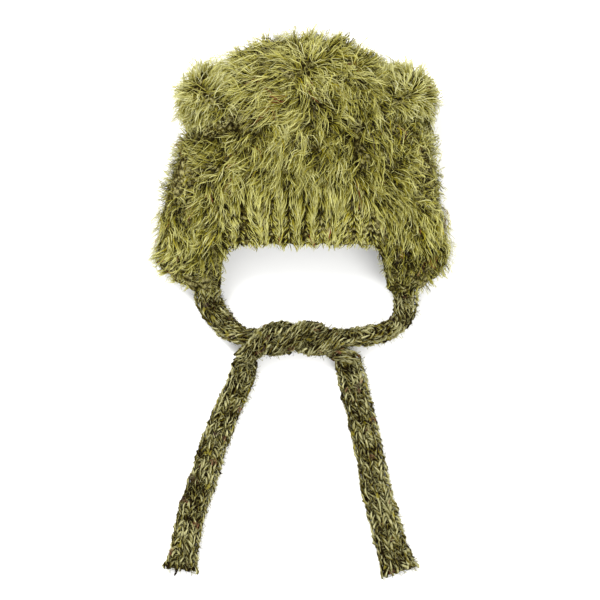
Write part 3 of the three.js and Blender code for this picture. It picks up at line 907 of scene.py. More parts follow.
def skin_patch(patch):
    """The part of the crown's outer surface that a patch is rooted in, dressed for its kind of pile.

    The kind is long, stitches for the columns between the ribs, where short strands lean down and
    outwards, or halo for the fine short fuzz along the outline and the brim."""
    distance, length, to_edge = wall_grid(skin_around, skin_down)
    plain = crown_point(distance, length)
    normal = grid_normals(plain).reshape(-1, 3)
    around = unit(np.roll(plain, -1, 1) - np.roll(plain, 1, 1)).reshape(-1, 3)
    distance, to_edge = distance.ravel(), to_edge.ravel()
    x, y, _ = plain.reshape(-1, 3).T
    sideways = np.abs(x)

    # Soft shares of the crown's parts: the front, the rim where it folds back, the outer quarters,
    # their upper sides and the locks hanging below, the flaps, the edge of the dome, and the whorl.
    front = slope(normal[:, 2], -0.25, 0.25)
    rim = slope(normal[:, 2], 0.45, 0.15)
    outer = above(sideways, outer_start, 3)
    side = above(sideways, side_start, 4) * (y < side_top) * above(y, side_foot, 4)
    hanging = outer * below(y, hanging_top, 3)
    flap = below(y, flap_top, 4)
    crest = slope(normal[:, 2], 0.85, 0.4) * slope(y, 30, 50)
    whorled = blob(x, y, *whorl)

    # The pile draws together on the ribs, so that the knitted columns between them show, and closes
    # over the two overgrown columns.
    rib = full_girth / rib_count
    across = np.mod(distance - rib_phase + rib / 2, rib) - rib / 2
    column_number = np.mod(np.round((distance - rib_phase) / rib), rib_count)
    overgrown = np.isin(column_number, overgrown_columns)
    ribbed = below(to_edge, ribbed_length - 6, 4)
    drawn = below(to_edge, ribbed_length + 12, 4) * (1 - outer)
    to_ridge = np.where(overgrown, -across, np.sign(across) * rib / 2 - across)
    gather = around * (to_ridge * drawn * ridge_pull)[:, None]
    column_width = 1.6 + 2.4 * np.clip(1 - to_edge / ribbed_length, 0, 1)
    in_column = below(np.abs(across), column_width, 0.35) * ~overgrown * (1 - outer)
    on_ridge = np.exp(-(((np.abs(across) - rib / 2) / 3) ** 2)) * ribbed * (1 - outer)

    # Strands at the rim stand outwards, so that the outline is full at the sides, and those at the
    # left flap's outer corner lean down and away.
    left_edge = rim * (x < 0) * slope(y, 25, 13) * slope(y, -84, -68)
    right_edge = rim * (x > 0) * slope(y, -30, -46) * slope(y, -90, -74)
    outward = left_edge * (left_reach + low_left_reach * slope(y, -35, -45)) + right_reach * right_edge
    gather = gather + blob(x, y, *left_corner)[:, None] * left_corner_pull
    gather = gather + normal * outward[:, None]

    # The comb lies in the surface, along the table of headings in front and downwards at the back.
    heading = pile_heading(x, y)
    down = np.stack([(0.25 + 0.7 * hanging) * np.sign(x), -np.ones_like(x)], -1)
    heading = heading * front[:, None] + down * (1 - front[:, None])
    comb = np.concatenate([heading, np.zeros((len(x), 1))], 1)
    comb = unit(comb - normal * (comb * normal).sum(1, keepdims=True))
    down_comb = np.array([0, -1, 0])

    # The length changes from part to part. It is cut short on the edge of the dome, at the whorl and
    # at the flaps' lower edge, but not at the left flap's outer corner, and is longer at the dome's
    # upper left.
    span = top_length + (rib_length - top_length) * ribbed
    span = span + (side_length - span) * side
    span = span + (flap_length - span) * flap
    span = (span + (rim_length - span) * rim) * front + back_length * (1 - front)
    span = span * np.clip(0.5 + to_edge / 24 + outer, 0.5, 1)
    span = span * (1 - crest_cut * crest) * (1 - whorl_cut * whorled)
    span = span * (1 - foot_cut * slope(y, -76, -94) * slope(x, -114, -106))
    span = span * (1 + tuft_growth * blob(x, y, *tuft))

    # The pile is thin round the ears and at the places in the tables. Its tips are pale on the ridges
    # and at the whorl, paler at the rim and by the outer lower edge as painted light on the outline,
    # and darker in the crease below the ears as painted shade.
    tone = sum(p.light * blob(x, y, p.x, p.y, p.radius) for p in tone_places)
    thin = sum(blob(x, y, p.x, p.y, p.radius) for p in thin_places)
    for ear in ears:
        from_ear = np.hypot(x - ear.centre[0], y - ear.centre[1])
        under_ear = np.clip((ear.centre[1] - y) / np.maximum(from_ear, 1), 0, 1)
        thin = thin + 1.4 * below(from_ear, ear_shade, 1.2)
        # Painted shade: the pile's tips are darkened in a ring just below each ear, where the crease is.
        tone = tone - ear.crease * under_ear * np.exp(-(((from_ear - ear_shade - 2) / 4) ** 2))
    amount = 1 - 0.75 * np.clip(thin, 0, 1) - 0.3 * side * (1 - rim) + 1.4 * np.minimum(tone, 0)
    amount = np.maximum(amount, left_edge)
    lower_edge = np.exp(-((to_edge / 12) ** 2)) * above(sideways, 88, 4)
    light = tone + rim_painted_light * rim + dome_light * slope(y, 30, 70) + flap_light * flap
    light = light + ridge_light * on_ridge + whorl_light * whorled + foot_painted_light * lower_edge
    light = light + left_edge_light * left_edge * slope(y, -45, -25)

    inside = within(x, patch.x_range) & within(y, patch.y_range) & within(normal[:, 2], patch.rise_range)
    if patch.kind == "stitches":
        amount = in_column * ribbed * front
        comb = down_comb + around * (np.sign(across) * 0.8)[:, None]
        gather = np.zeros(3)
        span = stitch_leg
    elif patch.kind == "halo":
        at_edge = np.exp(-((to_edge / 4) ** 2))
        inside = inside | (y < brim_halo_start)
        amount = np.clip(rim + at_edge, 0, 1) * (1 - 0.5 * crest)
        comb = normal + down_comb * at_edge[:, None]
        gather = np.zeros(3)
        span = halo_length * (1 - 0.55 * crest)
        # The halo's tips are painted pale, as light shining through the outline.
        light = halo_painted_light
    else:
        amount = amount * (1 - 0.97 * ribbed * in_column) * (1 - 0.35 * (1 - front))
    faces = [face for face in grid_faces(skin_down, skin_around, 0, False) if inside[face[0]]]
    made = mesh_object(patch.name + "_skin", plain.reshape(-1, 3) * mm, faces)
    scatter = (1 - 0.75 * drawn) * (1 - 0.6 * hanging) * (1 + 0.6 * side) * (1 - 0.4 * rim - 0.3 * crest)
    dress(
        made,
        comb=comb,
        pile_length=span * mm,
        pile_density=np.clip(amount, 0.05, 1),
        pile_scatter=scatter + 1.6 * whorled,
        pile_swirl=(1 - 0.9 * drawn) * (1 - 0.6 * rim) * (1 - 0.8 * hanging),
        pile_lock=(1 - 0.8 * drawn) * (1 - 0.6 * crest),
        pile_curl=(1 - 0.75 * drawn) * (1 - 0.25 * hanging) + 0.4 * crest,
        pile_light=light,
        gather=gather * mm,
    )
    return made


# Brushed fibre: long, mohair-like fibres of the same yarn, nearly matt. The eye sees pale olive
# strands, darker in patches of 26 mm, and a few dyed yellow, rust or dark grey. Each strand
# darkens towards its root, which is painted shade deep in the pile.
fibre_patch_size = 26.3
pile_fleck_size = 2.632


def brushed_fibre(name, root, middle, tip, cream, flecks):
    material, tree, shader = new_material(name, 0.8, 0.06)
    along = add(tree, "ShaderNodeAttribute", {"attribute_name": "along"}, {}).outputs["Fac"]
    shade = add(tree, "ShaderNodeAttribute", {"attribute_name": "shade"}, {}).outputs["Fac"]
    phase = add(tree, "ShaderNodeAttribute", {"attribute_name": "phase"}, {}).outputs["Fac"]
    rooted = add(tree, "ShaderNodeAttribute", {"attribute_name": "root"}, {}).outputs["Vector"]
    patch_scale = 1 / (fibre_patch_size * mm)
    patch = add(tree, "ShaderNodeTexNoise", {}, {"Vector": rooted, "Scale": patch_scale, "Detail": 2.0})
    spread = add(
        tree,
        "ShaderNodeMapRange",
        {},
        {"Value": shade, "From Min": 0.0, "From Max": 1.0, "To Min": -0.55, "To Max": 0.5},
    )
    drift = add(
        tree,
        "ShaderNodeMapRange",
        {},
        {"Value": patch, "From Min": 0.3, "From Max": 0.7, "To Min": -0.16, "To Max": 0.16},
    )
    # The level grows along the strand, so the root end takes the darkest colour: painted shade deep in the
    # pile.
    own_level = add(tree, "ShaderNodeMath", plus, {0: along, 1: spread})
    level = add(tree, "ShaderNodeMath", {**plus, "use_clamp": True}, {0: own_level, 1: drift})
    ramp = add(tree, "ShaderNodeValToRGB", {}, {"Fac": level})
    colour_stops(ramp, [(0.1, root), (0.42, middle), (0.85, tip)])
    cycle = add(tree, "ShaderNodeMath", fraction, {0: phase})
    bright = add(tree, "ShaderNodeMath", power, {0: level, 1: 2.0})
    pale = add(tree, "ShaderNodeMath", times, {0: cycle, 1: bright})
    paler = add(
        tree, "ShaderNodeMix", {"data_type": "RGBA"}, {"Factor": pale, 6: ramp, 7: linear(cream)}
    ).outputs[2]
    colours = [(0.0, "#a0931c"), (0.4, "#7a4a2b"), (0.7, "#3a322a")]
    dyes, rare = dyed_flecks(tree, rooted, pile_fleck_size, flecks, colours)
    coloured = add(tree, "ShaderNodeMix", {"data_type": "RGBA"}, {"Factor": rare, 6: paler, 7: dyes})
    tree.links.new(coloured.outputs[2], shader.inputs["Base Color"])
    return material


# The pile's long fibres, the short wool fluff under them, dark like the knitting and as painted
# shade in the gaps between the locks, and the ears' fibres, which are a little paler. The colours
# run from the root, nearly black as painted shade deep in the pile, to the tip, with a cream for
# the palest tips.
pile_fibre = brushed_fibre("brushed_mohair_fibre", "#171200", "#877f1b", "#c4c06c", "#c4c18e", 0.022)
fluff_fibre = brushed_fibre("fine_wool_fluff", "#130f00", "#453e0c", "#7c7635", "#8a8556", 0.05)
ear_fibre = brushed_fibre("pale_ear_fibre", "#171200", "#878022", "#c8c57e", "#cccaa0", 0.016)
pile_strand = strand_template("pile_strand", [0.0, 0.2, 0.4, 0.6, 0.8], 0.27)
fluff_strand = strand_template("fluff_strand", [0.0, 0.35, 0.7], 0.2)
combed_pile = pile_tree()
# How each kind of pile grows, in metres and in strands to the square metre: the long locks.
long_pile = {
    "Strand": pile_strand,
    "Density": 600000.0,
    "Length": 1.0,
    "Width": 0.0006,
    "Disorder": 0.24,
    "Lock Size": 0.0025,
    "Lock Pull": 0.8,
    "Lock Tone": 1.2,
    "Wave Size": 0.0065,
    "Wave Reach": 0.027,
    "Curl Turns": 0.85,
    "Curl Reach": 0.003,
    "Swirl Size": 0.014,
    "Swirl": 5.0,
    "Patch Size": 0.01,
    "Patchiness": 0.6,
    "Finish": pile_fibre,
}
# The short fluff between the roots, dark as painted shade in the gaps between the locks.
under_fluff = {
    **long_pile,
    "Strand": fluff_strand,
    "Density": 290000.0,
    "Length": 0.5,
    "Width": 0.0005,
    "Disorder": 1.1,
    "Lock Size": 0.003,
    "Lock Pull": 0.4,
    "Patchiness": 0.4,
    "Finish": fluff_fibre,
}
# The locks that hang at both lower corners.
hanging_locks = {
    **long_pile,
    "Density": 470000.0,
    "Length": 0.88,
    "Lock Size": 0.003,
    "Lock Pull": 0.85,
    "Wave Reach": 0.019,
    "Curl Reach": 0.004,
    "Patchiness": 0.75,
}
# The crinkled short pile at the sides.
short_curls = {
    **long_pile,
    "Density": 450000.0,
    "Width": 0.00075,
    "Disorder": 1.8,
    "Lock Tone": 3.0,
    "Wave Reach": 0.014,
    "Curl Turns": 0.9,
    "Curl Reach": 0.0048,
    "Patchiness": 0.85,
}
# The yarn's strands in the knitted columns between the ribs.
stitch_legs = {
    **long_pile,
    "Strand": fluff_strand,
    "Density": 900000.0,
    "Width": 0.0007,
    "Disorder": 0.5,
    "Lock Size": 0.0016,
    "Lock Pull": 0.9,
    "Lock Tone": 3.0,
    "Wave Reach": 0.003,
    "Curl Reach": 0.0006,
    "Swirl": 0.6,
    "Patchiness": 0.9,
    "Patch Size": 0.004,
}
# The fine fuzz that stands off the outline.
halo_fuzz = {
    **stitch_legs,
    "Density": 330000.0,
    "Width": 0.00036,
    "Disorder": 1.6,
    "Lock Pull": 0.0,
    "Wave Reach": 0.006,
    "Curl Reach": 0.0026,
    "Patchiness": 0.0,
}
# The back needs fewer strands, because it lies on the table.
back_pile = {**long_pile, "Density": 60000.0}
# Each patch's part of the crown is a range of x, of y and of how far its surface faces up.
far = math.inf
anywhere = (-far, far)
facing_up = (-0.2, far)
low, belt, top = (-far, -34), (-34, 38), (38, far)
left, middle, right = (-84, -28), (-28, 28), (28, 84)
PilePatch = namedtuple("PilePatch", "name kind settings seed x_range y_range rise_range")
pile_patches = [
    PilePatch("fluff_upper", "long", under_fluff, 6, anywhere, (0, far), facing_up),
    PilePatch("fluff_lower", "long", under_fluff, 7, anywhere, (-far, 0), facing_up),
    PilePatch("pile_top", "long", long_pile, 1, anywhere, top, facing_up),
    PilePatch("pile_left", "long", long_pile, 2, left, belt, facing_up),
    PilePatch("pile_low_left", "long", hanging_locks, 13, (-far, -28), low, facing_up),
    PilePatch("pile_middle", "long", long_pile, 3, middle, (-far, 38), facing_up),
    PilePatch("pile_right", "long", long_pile, 4, right, belt, facing_up),
    PilePatch("pile_low_right", "long", hanging_locks, 14, (28, far), low, facing_up),
    PilePatch("curls_left", "long", short_curls, 8, (-far, -84), belt, facing_up),
    PilePatch("curls_right", "long", short_curls, 9, (84, far), belt, facing_up),
    PilePatch("halo", "halo", halo_fuzz, 12, anywhere, anywhere, (-0.5, 0.5)),
    PilePatch("rib_stitches", "stitches", stitch_legs, 10, (-84, 84), (-80, -5), (0, far)),
    PilePatch("pile_back", "long", back_pile, 5, anywhere, anywhere, (-far, -0.2)),
]
for patch in pile_patches:
    skin = skin_patch(patch)
    grown_patch = grown(patch.name, skin, combed_pile, {**patch.settings, "Seed": patch.seed})
    bpy.data.objects.remove(skin)
    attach(grown_patch, "root")


# Ears: two round puffed pads of the same knitting, stuffed and sewn flat on the upper corners of
# the crown. The same brushed pile covers them, and lies outwards from a parting in their middle.
ear_radius = 23
ear_half_depth = 10
ear_pile_length = 13.5
ear_front_share = 0.62
ear_columns = 64
ear_rows = 32
seat_gap = 0.35
seat_reach = 40
# The shares that the ears' pile is longer or shorter by, and how much paler its tips are. The rim
# and top values are painted light: a pale outline, and a top and outer side lighter and a lower
# side darker, as if lit from above.
ear_corner_growth = 0.1
ear_top_growth = 0.14
ear_under_cut = 0.45
ear_rim_painted_light = 0.2
ear_parting_light = 0.25
ear_top_painted_light = 0.2


def seated(points, skin, gap):
    """Moves points that lie within a gap of a skin, or behind it, out to that gap."""
    tree = BVHTree.FromObject(skin, bpy.context.evaluated_depsgraph_get())
    moved = []
    for point in points:
        near, normal, _, distance = tree.find_nearest(point)
        depth = (point - near).dot(normal)
        moved.append(near + normal * gap if depth < gap and distance < seat_reach * mm else point)
    return moved


def ear_pad(ear):
    """The pad's points, their directions from the pile's parting, their stitches, and its faces."""
    turn = Vector((0, 0, 1)).rotation_difference(Vector(ear.facing))
    start, end = Vector(ear.parting_start), Vector(ear.parting_end)
    points = []
    combs = []
    stitches = []
    for r in range(ear_rows + 1):
        tilt = math.pi * r / ear_rows
        radius = ear_radius * math.sin(tilt)
        for c in range(ear_columns if 0 < r < ear_rows else 1):
            angle = 2 * math.pi * c / ear_columns
            flat = (radius * math.cos(angle), radius * math.sin(angle))
            wale = abs((flat[0] / stitch_width) % 1 - 0.5)
            row = flat[1] / stitch_height + leg_slant * wale
            relief = stitch_relief * abs(math.sin(math.pi * row))
            local = Vector((*flat, ear_half_depth * math.cos(tilt)))
            outward = Vector((flat[0] / ear_radius**2, flat[1] / ear_radius**2, local.z / ear_half_depth**2))
            local += outward.normalized() * relief
            points.append((turn @ local + Vector(ear.centre)) * mm)
            share = (Vector(flat) - start).dot(end - start) / (end - start).length_squared
            away = Vector(flat) - start.lerp(end, min(max(share, 0), 1))
            combs.append(turn @ away.to_3d().normalized())
            stitches.append((flat[0] / stitch_width, flat[1] / stitch_height, 0))

    def at(r, c):
        return 1 + (r - 1) * ear_columns + c % ear_columns

    faces = []
    for c in range(ear_columns):
        faces.append((0, at(1, c), at(1, c + 1)))
        faces.append((len(points) - 1, at(ear_rows - 1, c + 1), at(ear_rows - 1, c)))
        for r in range(1, ear_rows - 1):
            faces.append((at(r, c), at(r + 1, c), at(r + 1, c + 1), at(r, c + 1)))
    return seated(points, crown_knit, seat_gap * mm), combs, stitches, faces


# The ears' pile is a little denser, and has wider locks.
ear_locks = {
    **long_pile,
    "Density": 600000.0,
    "Width": 0.0006,
    "Disorder": 0.32,
    "Lock Size": 0.0034,
    "Lock Pull": 0.85,
    "Lock Tone": 1.3,
    "Curl Reach": 0.0022,
    "Patch Size": 0.006,
    "Patchiness": 0.8,
    "Finish": ear_fibre,
}
ear_fuzz = {
    **halo_fuzz,
    "Density": 420000.0,
    "Length": 0.95,
    "Width": 0.0004,
    "Disorder": 0.5,
    "Curl Reach": 0.002,
}
for number, ear in enumerate(ears):
    points, combs, stitches, faces = ear_pad(ear)
    pad = mesh_object(ear.name + "_knit", points, faces)
    store(pad.data, "stitch", "FLOAT_VECTOR", stitches)
    pad.data.materials.append(crown_wool)
    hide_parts(ear.name)
    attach(pad, "root")

    # Only the pad's front has pile, which is longest at its top and its lower outer corner, and
    # shortest below. It stands up at the parting, and is palest there. It is also paler at the rim and
    # at the top and darker below, which is painted light.
    front_points = 1 + ear_columns * round(ear_rows * ear_front_share)
    skin = mesh_object("ear_skin", points, [face for face in faces if max(face) < front_points])
    away = [Vector((p[0] / mm - ear.centre[0], p[1] / mm - ear.centre[1])) / ear_radius for p in points]
    reach = [a.length for a in away]
    outside = math.copysign(1, ear.centre[0])
    corner = [2 * max(a.x * outside, 0) * max(-a.y, 0) for a in away]
    under = [max(-a.y, 0) ** 2 * (1 - max(a.x * outside, 0)) for a in away]
    share = [
        1 + ear_corner_growth * c - ear_under_cut * u + ear_top_growth * max(a.y, 0)
        for a, c, u in zip(away, corner, under)
    ]
    # Painted light: pale at the rim, and lighter at the top and outer side and darker below.
    light = [
        ear.light
        + ear_rim_painted_light * r**4
        + ear_parting_light * math.exp(-((r / 0.3) ** 2))
        + ear_top_painted_light * (0.4 * a.x * outside + 0.9 * a.y)
        for a, r in zip(away, reach)
    ]
    dress(
        skin,
        comb=combs,
        pile_length=[ear_pile_length * s * mm for s in share],
        pile_density=[min(0.75 + 0.5 * r, 1) for r in reach],
        pile_scatter=[0.7 + 1.6 * math.exp(-((r / 0.4) ** 2)) for r in reach],
        pile_swirl=0.4,
        pile_lock=[1 - 0.5 * min(r, 1) ** 4 for r in reach],
        pile_curl=1.0,
        pile_light=light,
        gather=np.zeros(3),
    )
    for part, settings in (("_pile", ear_locks), ("_fuzz", ear_fuzz)):
        grown_part = grown(ear.name + part, skin, combed_pile, {**settings, "Seed": 20 + number})
        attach(grown_part, "root")
    bpy.data.objects.remove(skin)
bpy.data.objects.remove(pile_strand)
bpy.data.objects.remove(fluff_strand)

# Ties: a flat knitted cord on the tip of each flap, knitted in the round from the same tweed yarn,
# seven wales about. They are crossed in a half knot, and their ends lie spread on the table. The
# route is that of their solids, in millimetres, and the lean is the turn from lying flat.
Station = namedtuple("Station", "x y z width thickness lean")
left_lead = [
    Station(-76, -100.6, 16.9, 19, 5, -36),
    Station(-76, -106.5, 12.6, 20, 6, -33),
    Station(-75, -114, 8.8, 20, 7, -18),
    Station(-71, -122, 7, 19, 8, 0),
    Station(-65, -129.5, 7, 18, 9, 15),
    Station(-58, -136, 8.5, 17, 10, 35),
]
right_lead = [
    Station(82, -100.4, 16.8, 19, 5, -36),
    Station(83, -106.5, 12.6, 19, 6, -34),
    Station(83, -115, 9.6, 18, 8, -36),
    Station(81, -125, 9, 16, 9, -50),
    Station(74, -133, 9.5, 15, 10, -60),
    Station(63, -138.5, 10.5, 15, 12, -65),
    Station(51, -141, 12, 15, 12.5, -75),
]
left_tail = [
    Station(-46, -162.5, 8, 18, 9, 40),
    Station(-49.5, -175, 5.4, 19, 7.5, 12),
    Station(-55.5, -190, 3.7, 20, 7, 0),
    Station(-67, -216, 3.7, 20, 7, 0),
    Station(-77, -246, 3.7, 21, 7, 0),
    Station(-87, -276, 3.7, 21, 7, 0),
    Station(-94, -304, 3.7, 21, 7, 0),
    Station(-98, -329, 3.7, 22, 7, 0),
]
right_tail = [
    Station(36.5, -162, 8, 20, 9, -40),
    Station(40.5, -176, 5.4, 21.5, 7.5, -12),
    Station(43.5, -192, 3.7, 21, 7, 0),
    Station(50, -218, 3.7, 21, 7, 0),
    Station(56, -248, 3.7, 22, 7, 0),
    Station(62, -276, 3.7, 23, 7, 0),
    Station(70, -304, 3.7, 24, 7, 0),
    Station(78, -331, 3.7, 26, 7, 0),
]
knot_start = -46
knot_end = 33
knot_y = -149
knot_arch = 7
knot_height = 13.6
knot_radius = 6.9
knot_width = 14
knot_thickness = 11
knot_half_turns = 3
knot_steps = 18
seam_length = 4.6
first_row_gap = 1.5
path_points = 36
tie_squareness = 2.6
usual_width = 21
usual_thickness = 7
# The tie's stitches, drawn as coarse as they need to show: two legs of three plies each.
tie_wales = 7
tie_wale_width = 7.4
tie_row_height = 4.8
yarn_plies = 3
ply_radius = 0.62
ply_offset = 0.85
ply_twist = 0.45
ply_end_share = 0.75
leg_length = 7.6
leg_gap = 0.5
leg_lean = 2.3
leg_foot = -1.1
leg_arch = 1.7
core_depth = 1.9
# How far a stitch turns either way, in radians, and the least and the most that it is scaled by.
stitch_turn = (0.22, 0.22, 0.42)
least_scale = (0.75, 0.8, 0.8)
most_scale = (1.3, 1.15, 1.7)
# The shares that a tie's width wavers by, and the lengths that it wavers over.
slow_waver = 0.035
slow_waver_length = 7
quick_waver = 0.025
quick_waver_length = 2.9
# The cast-off end, which flares and rolls a little, and the free end of its yarn.
overhang = 4
cast_off_flare = 0.2
flare_length = 16
cast_off_roll = 0.9
tie_fuzz_length = 5.5
fuzz_root_depth = 0.3
least_height = 0.3
yarn_end_points = [(-101, -326, 4.5), (-102, -329.5, 3.5), (-102, -332, 1.5), (-103.5, -334.5, 1.2)]
yarn_end_radius = 1.0


def laid(rows):
    """Stations as rows of a middle, a facing direction, a width and a thickness."""
    lean = np.radians([row.lean for row in rows])
    facing = np.stack([0 * lean, np.sin(lean), np.cos(lean)], -1)
    return np.concatenate([np.array(rows, float)[:, :3], facing, np.array(rows, float)[:, 3:5]], 1)


def knotted(start_angle, flat_side):
    """Stations round the knot's line, whose flat side faces away from it or, with -1, towards it."""
    share = np.linspace(0, 1, knot_steps + 1)
    angle = start_angle + share * knot_half_turns * math.pi
    away = np.stack([0 * angle, np.cos(angle), -np.sin(angle)], -1)
    y = knot_y + knot_arch * np.sin(share * math.pi)
    middle = np.stack([knot_start + share * (knot_end - knot_start), y, 0 * share + knot_height], -1)
    sizes = np.tile([knot_width, knot_thickness], (len(share), 1))
    return np.concatenate([middle + away * knot_radius, flat_side * away, sizes], 1)


def smooth_route(points, steps):
    """A centripetal Catmull-Rom curve through points, with a number of steps between two of them."""
    ends = [2 * points[0] - points[1], *points, 2 * points[-1] - points[-2]]
    made = []
    t = np.linspace(0, 1, steps, endpoint=False)[:, None]
    for a, b, c, d in zip(ends, ends[1:], ends[2:], ends[3:]):
        d0, d1, d2 = (max(np.linalg.norm(q - p) ** 0.5, 1e-4) for p, q in ((a, b), (b, c), (c, d)))
        leave = ((b - a) / d0 - (c - a) / (d0 + d1) + (c - b) / d1) * d1
        arrive = ((c - b) / d1 - (d - b) / (d1 + d2) + (d - c) / d2) * d1
        bend = (2 * (b - c) + leave + arrive) * t**3 + (3 * (c - b) - 2 * leave - arrive) * t**2
        made.append(bend + leave * t + b)
    return np.concatenate([*made, points[-1:]])


tie_angles = np.linspace(0, 2 * math.pi, 721)
tie_side = usual_width * signed_power(np.cos(tie_angles), 2 / tie_squareness)
tie_rise = usual_thickness * signed_power(np.sin(tie_angles), 2 / tie_squareness)
tie_girth = run_lengths(np.stack([tie_side, tie_rise], -1))
tie_girth /= tie_girth[-1]


class Route:
    """A tie's way: its middle line, its flat side's direction and its section's size along it."""

    def __init__(self, stations, steps=10):
        self.middle = smooth_route(stations[:, :3], steps)
        self.full_length = run_lengths(self.middle)[-1]
        past_end = self.middle[-1] + unit(self.middle[-1] - self.middle[-2]) * overhang
        self.middle = np.concatenate([self.middle, [past_end]])
        stations = np.concatenate([stations, stations[-1:]])
        at = np.append(np.linspace(0, len(stations) - 2, len(self.middle) - 1), len(stations) - 1)
        rest = [np.interp(at, np.arange(len(stations)), stations[:, k]) for k in range(3, 8)]
        tangent = unit(np.gradient(self.middle, axis=0))
        facing = np.stack(rest[:3], -1)
        self.facing = unit(facing - tangent * (facing * tangent).sum(1, keepdims=True))
        self.across = np.cross(tangent, self.facing)
        self.width, self.thickness = rest[3], rest[4]
        self.length = run_lengths(self.middle)

    def at(self, values, length):
        if values.ndim == 1:
            return np.interp(length, self.length, values)
        return np.stack([np.interp(length, self.length, values[:, k]) for k in range(3)], -1)

    def wrap(self, share, length, height):
        """Points at a share of the way round, a length along and a height over the tie's surface.

        Hand knitting is uneven in its width, and the cast-off end flares."""
        angle = np.interp(np.mod(share, 1), tie_girth, tie_angles)
        cos, sin = np.cos(angle), np.sin(angle)
        way_round = 2 * math.pi * share
        slow = slow_waver * np.sin(length / slow_waver_length + way_round)
        quick = quick_waver * np.sin(length / quick_waver_length - 2 * way_round)
        flare = cast_off_flare * np.clip((length - self.full_length) / flare_length + 1, 0, 1) ** 1.5
        half_width = self.at(self.width, length) / 2 * (1 + (slow + quick) + flare)
        half_thickness = self.at(self.thickness, length) / 2
        across, facing = self.at(self.across, length), self.at(self.facing, length)
        x = signed_power(cos, 2 / tie_squareness)
        z = signed_power(sin, 2 / tie_squareness)
        out = unit(np.stack([x / half_width, z / half_thickness], -1))
        x = x * half_width + out[:, 0] * height
        z = z * half_thickness + out[:, 1] * height
        return self.at(self.middle, length) + across * x[:, None] + facing * z[:, None]


def stitch_template(name):
    """One V stitch in millimetres: two legs of three twisted plies.

    The legs start by the middle of the wale, lean outwards and arch over the stitch below."""
    points = []
    faces = []
    along = []
    ply_tone = []
    sides = 3
    rings = 4
    for side in (-1, 1):
        for ply in range(yarn_plies):
            start = len(points)
            for r in range(rings):
                t = r / (rings - 1)
                twist = 2 * math.pi * (ply / yarn_plies + ply_twist * t)
                off_leg = ply_offset * ply_radius
                x = side * (leg_gap + leg_lean * math.sin(t * math.pi / 2)) + off_leg * math.cos(twist)
                y = (t - 0.5) * leg_length
                z = leg_foot + leg_arch * math.sin(math.pi * (0.1 + 0.8 * t)) + off_leg * math.sin(twist)
                radius = ply_radius * (ply_end_share + (1 - ply_end_share) * math.sin(math.pi * t))
                for k in range(sides):
                    angle = 2 * math.pi * k / sides
                    points.append((x + radius * math.cos(angle), y, z + radius * math.sin(angle)))
                    along.append(t)
                    ply_tone.append((ply + (0.5 if side > 0 else 0)) / yarn_plies)
            for r in range(rings - 1):
                for k in range(sides):
                    a = start + r * sides + k
                    b = start + r * sides + (k + 1) % sides
                    faces.append((a, b, b + sides, a + sides))
            faces.append(tuple(start + k for k in reversed(range(sides))))
            faces.append(tuple(start + (rings - 1) * sides + k for k in range(sides)))
    made = mesh_object(name, points, faces)
    store(made.data, "along", "FLOAT", along)
    store(made.data, "ply_tone", "FLOAT", ply_tone)
    return made


def knitting_tree():
    """Sets V stitches in wales and rows over a flat core, in millimetres."""
    sizes = [
        ("Core", "NodeSocketGeometry"),
        ("Stitch", "NodeSocketObject"),
        ("Wales", "NodeSocketInt"),
        ("Rows", "NodeSocketInt"),
        ("Wale Width", "NodeSocketFloat"),
        ("Row Height", "NodeSocketFloat"),
        ("Seed", "NodeSocketInt"),
        ("Finish", "NodeSocketMaterial"),
    ]
    tree, given = new_tree("flat_knitting", sizes, "Knitting")

    # Wales and rows, each an even step apart, with the first at the origin.
    spans = []
    for count, pitch in (("Wales", "Wale Width"), ("Rows", "Row Height")):
        steps = add(tree, "ShaderNodeMath", minus, {0: given[count], 1: 1.0})
        spans.append(add(tree, "ShaderNodeMath", times, {0: steps, 1: given[pitch]}))
    wide, tall = spans
    grid = add(
        tree,
        "GeometryNodeMeshGrid",
        {},
        {"Size X": wide, "Size Y": tall, "Vertices X": given["Wales"], "Vertices Y": given["Rows"]},
    )
    middle = add(tree, "ShaderNodeCombineXYZ", {}, {0: wide, 1: tall})
    half = add(tree, "ShaderNodeVectorMath", scaled_by, {0: middle, "Scale": 0.5})
    corner = add(tree, "GeometryNodeSetPosition", {}, {"Geometry": grid, "Offset": half})

    # Hand-knitted stitches differ in their turn, size and shade.
    turn = add(
        tree,
        "FunctionNodeRandomValue",
        {"data_type": "FLOAT_VECTOR"},
        {0: tuple(-angle for angle in stitch_turn), 1: stitch_turn, "Seed": given["Seed"]},
    )
    size = add(
        tree,
        "FunctionNodeRandomValue",
        {"data_type": "FLOAT_VECTOR"},
        {0: least_scale, 1: most_scale, "Seed": given["Seed"]},
    )
    shade = add(tree, "FunctionNodeRandomValue", {"data_type": "FLOAT"}, {"Seed": given["Seed"]})
    shaded = add(
        tree,
        "GeometryNodeStoreNamedAttribute",
        {"data_type": "FLOAT", "domain": "POINT"},
        {"Geometry": corner, "Name": "shade", "Value": shade.outputs[1]},
    )
    stitch = add(tree, "GeometryNodeObjectInfo", {}, {"Object": given["Stitch"]}).outputs["Geometry"]
    worked = add(
        tree,
        "GeometryNodeInstanceOnPoints",
        {},
        {"Points": shaded, "Instance": stitch, "Rotation": turn, "Scale": size},
    )
    real = add(tree, "GeometryNodeRealizeInstances", {}, {0: worked})
    joined = add(tree, "GeometryNodeJoinGeometry", {}, {})
    tree.links.new(given["Core"], joined.inputs[0])
    tree.links.new(real.outputs[0], joined.inputs[0])
    finished = add(tree, "GeometryNodeSetMaterial", {}, {"Geometry": joined, "Material": given["Finish"]})
    add(tree, "NodeGroupOutput", {}, {0: finished})
    return tree


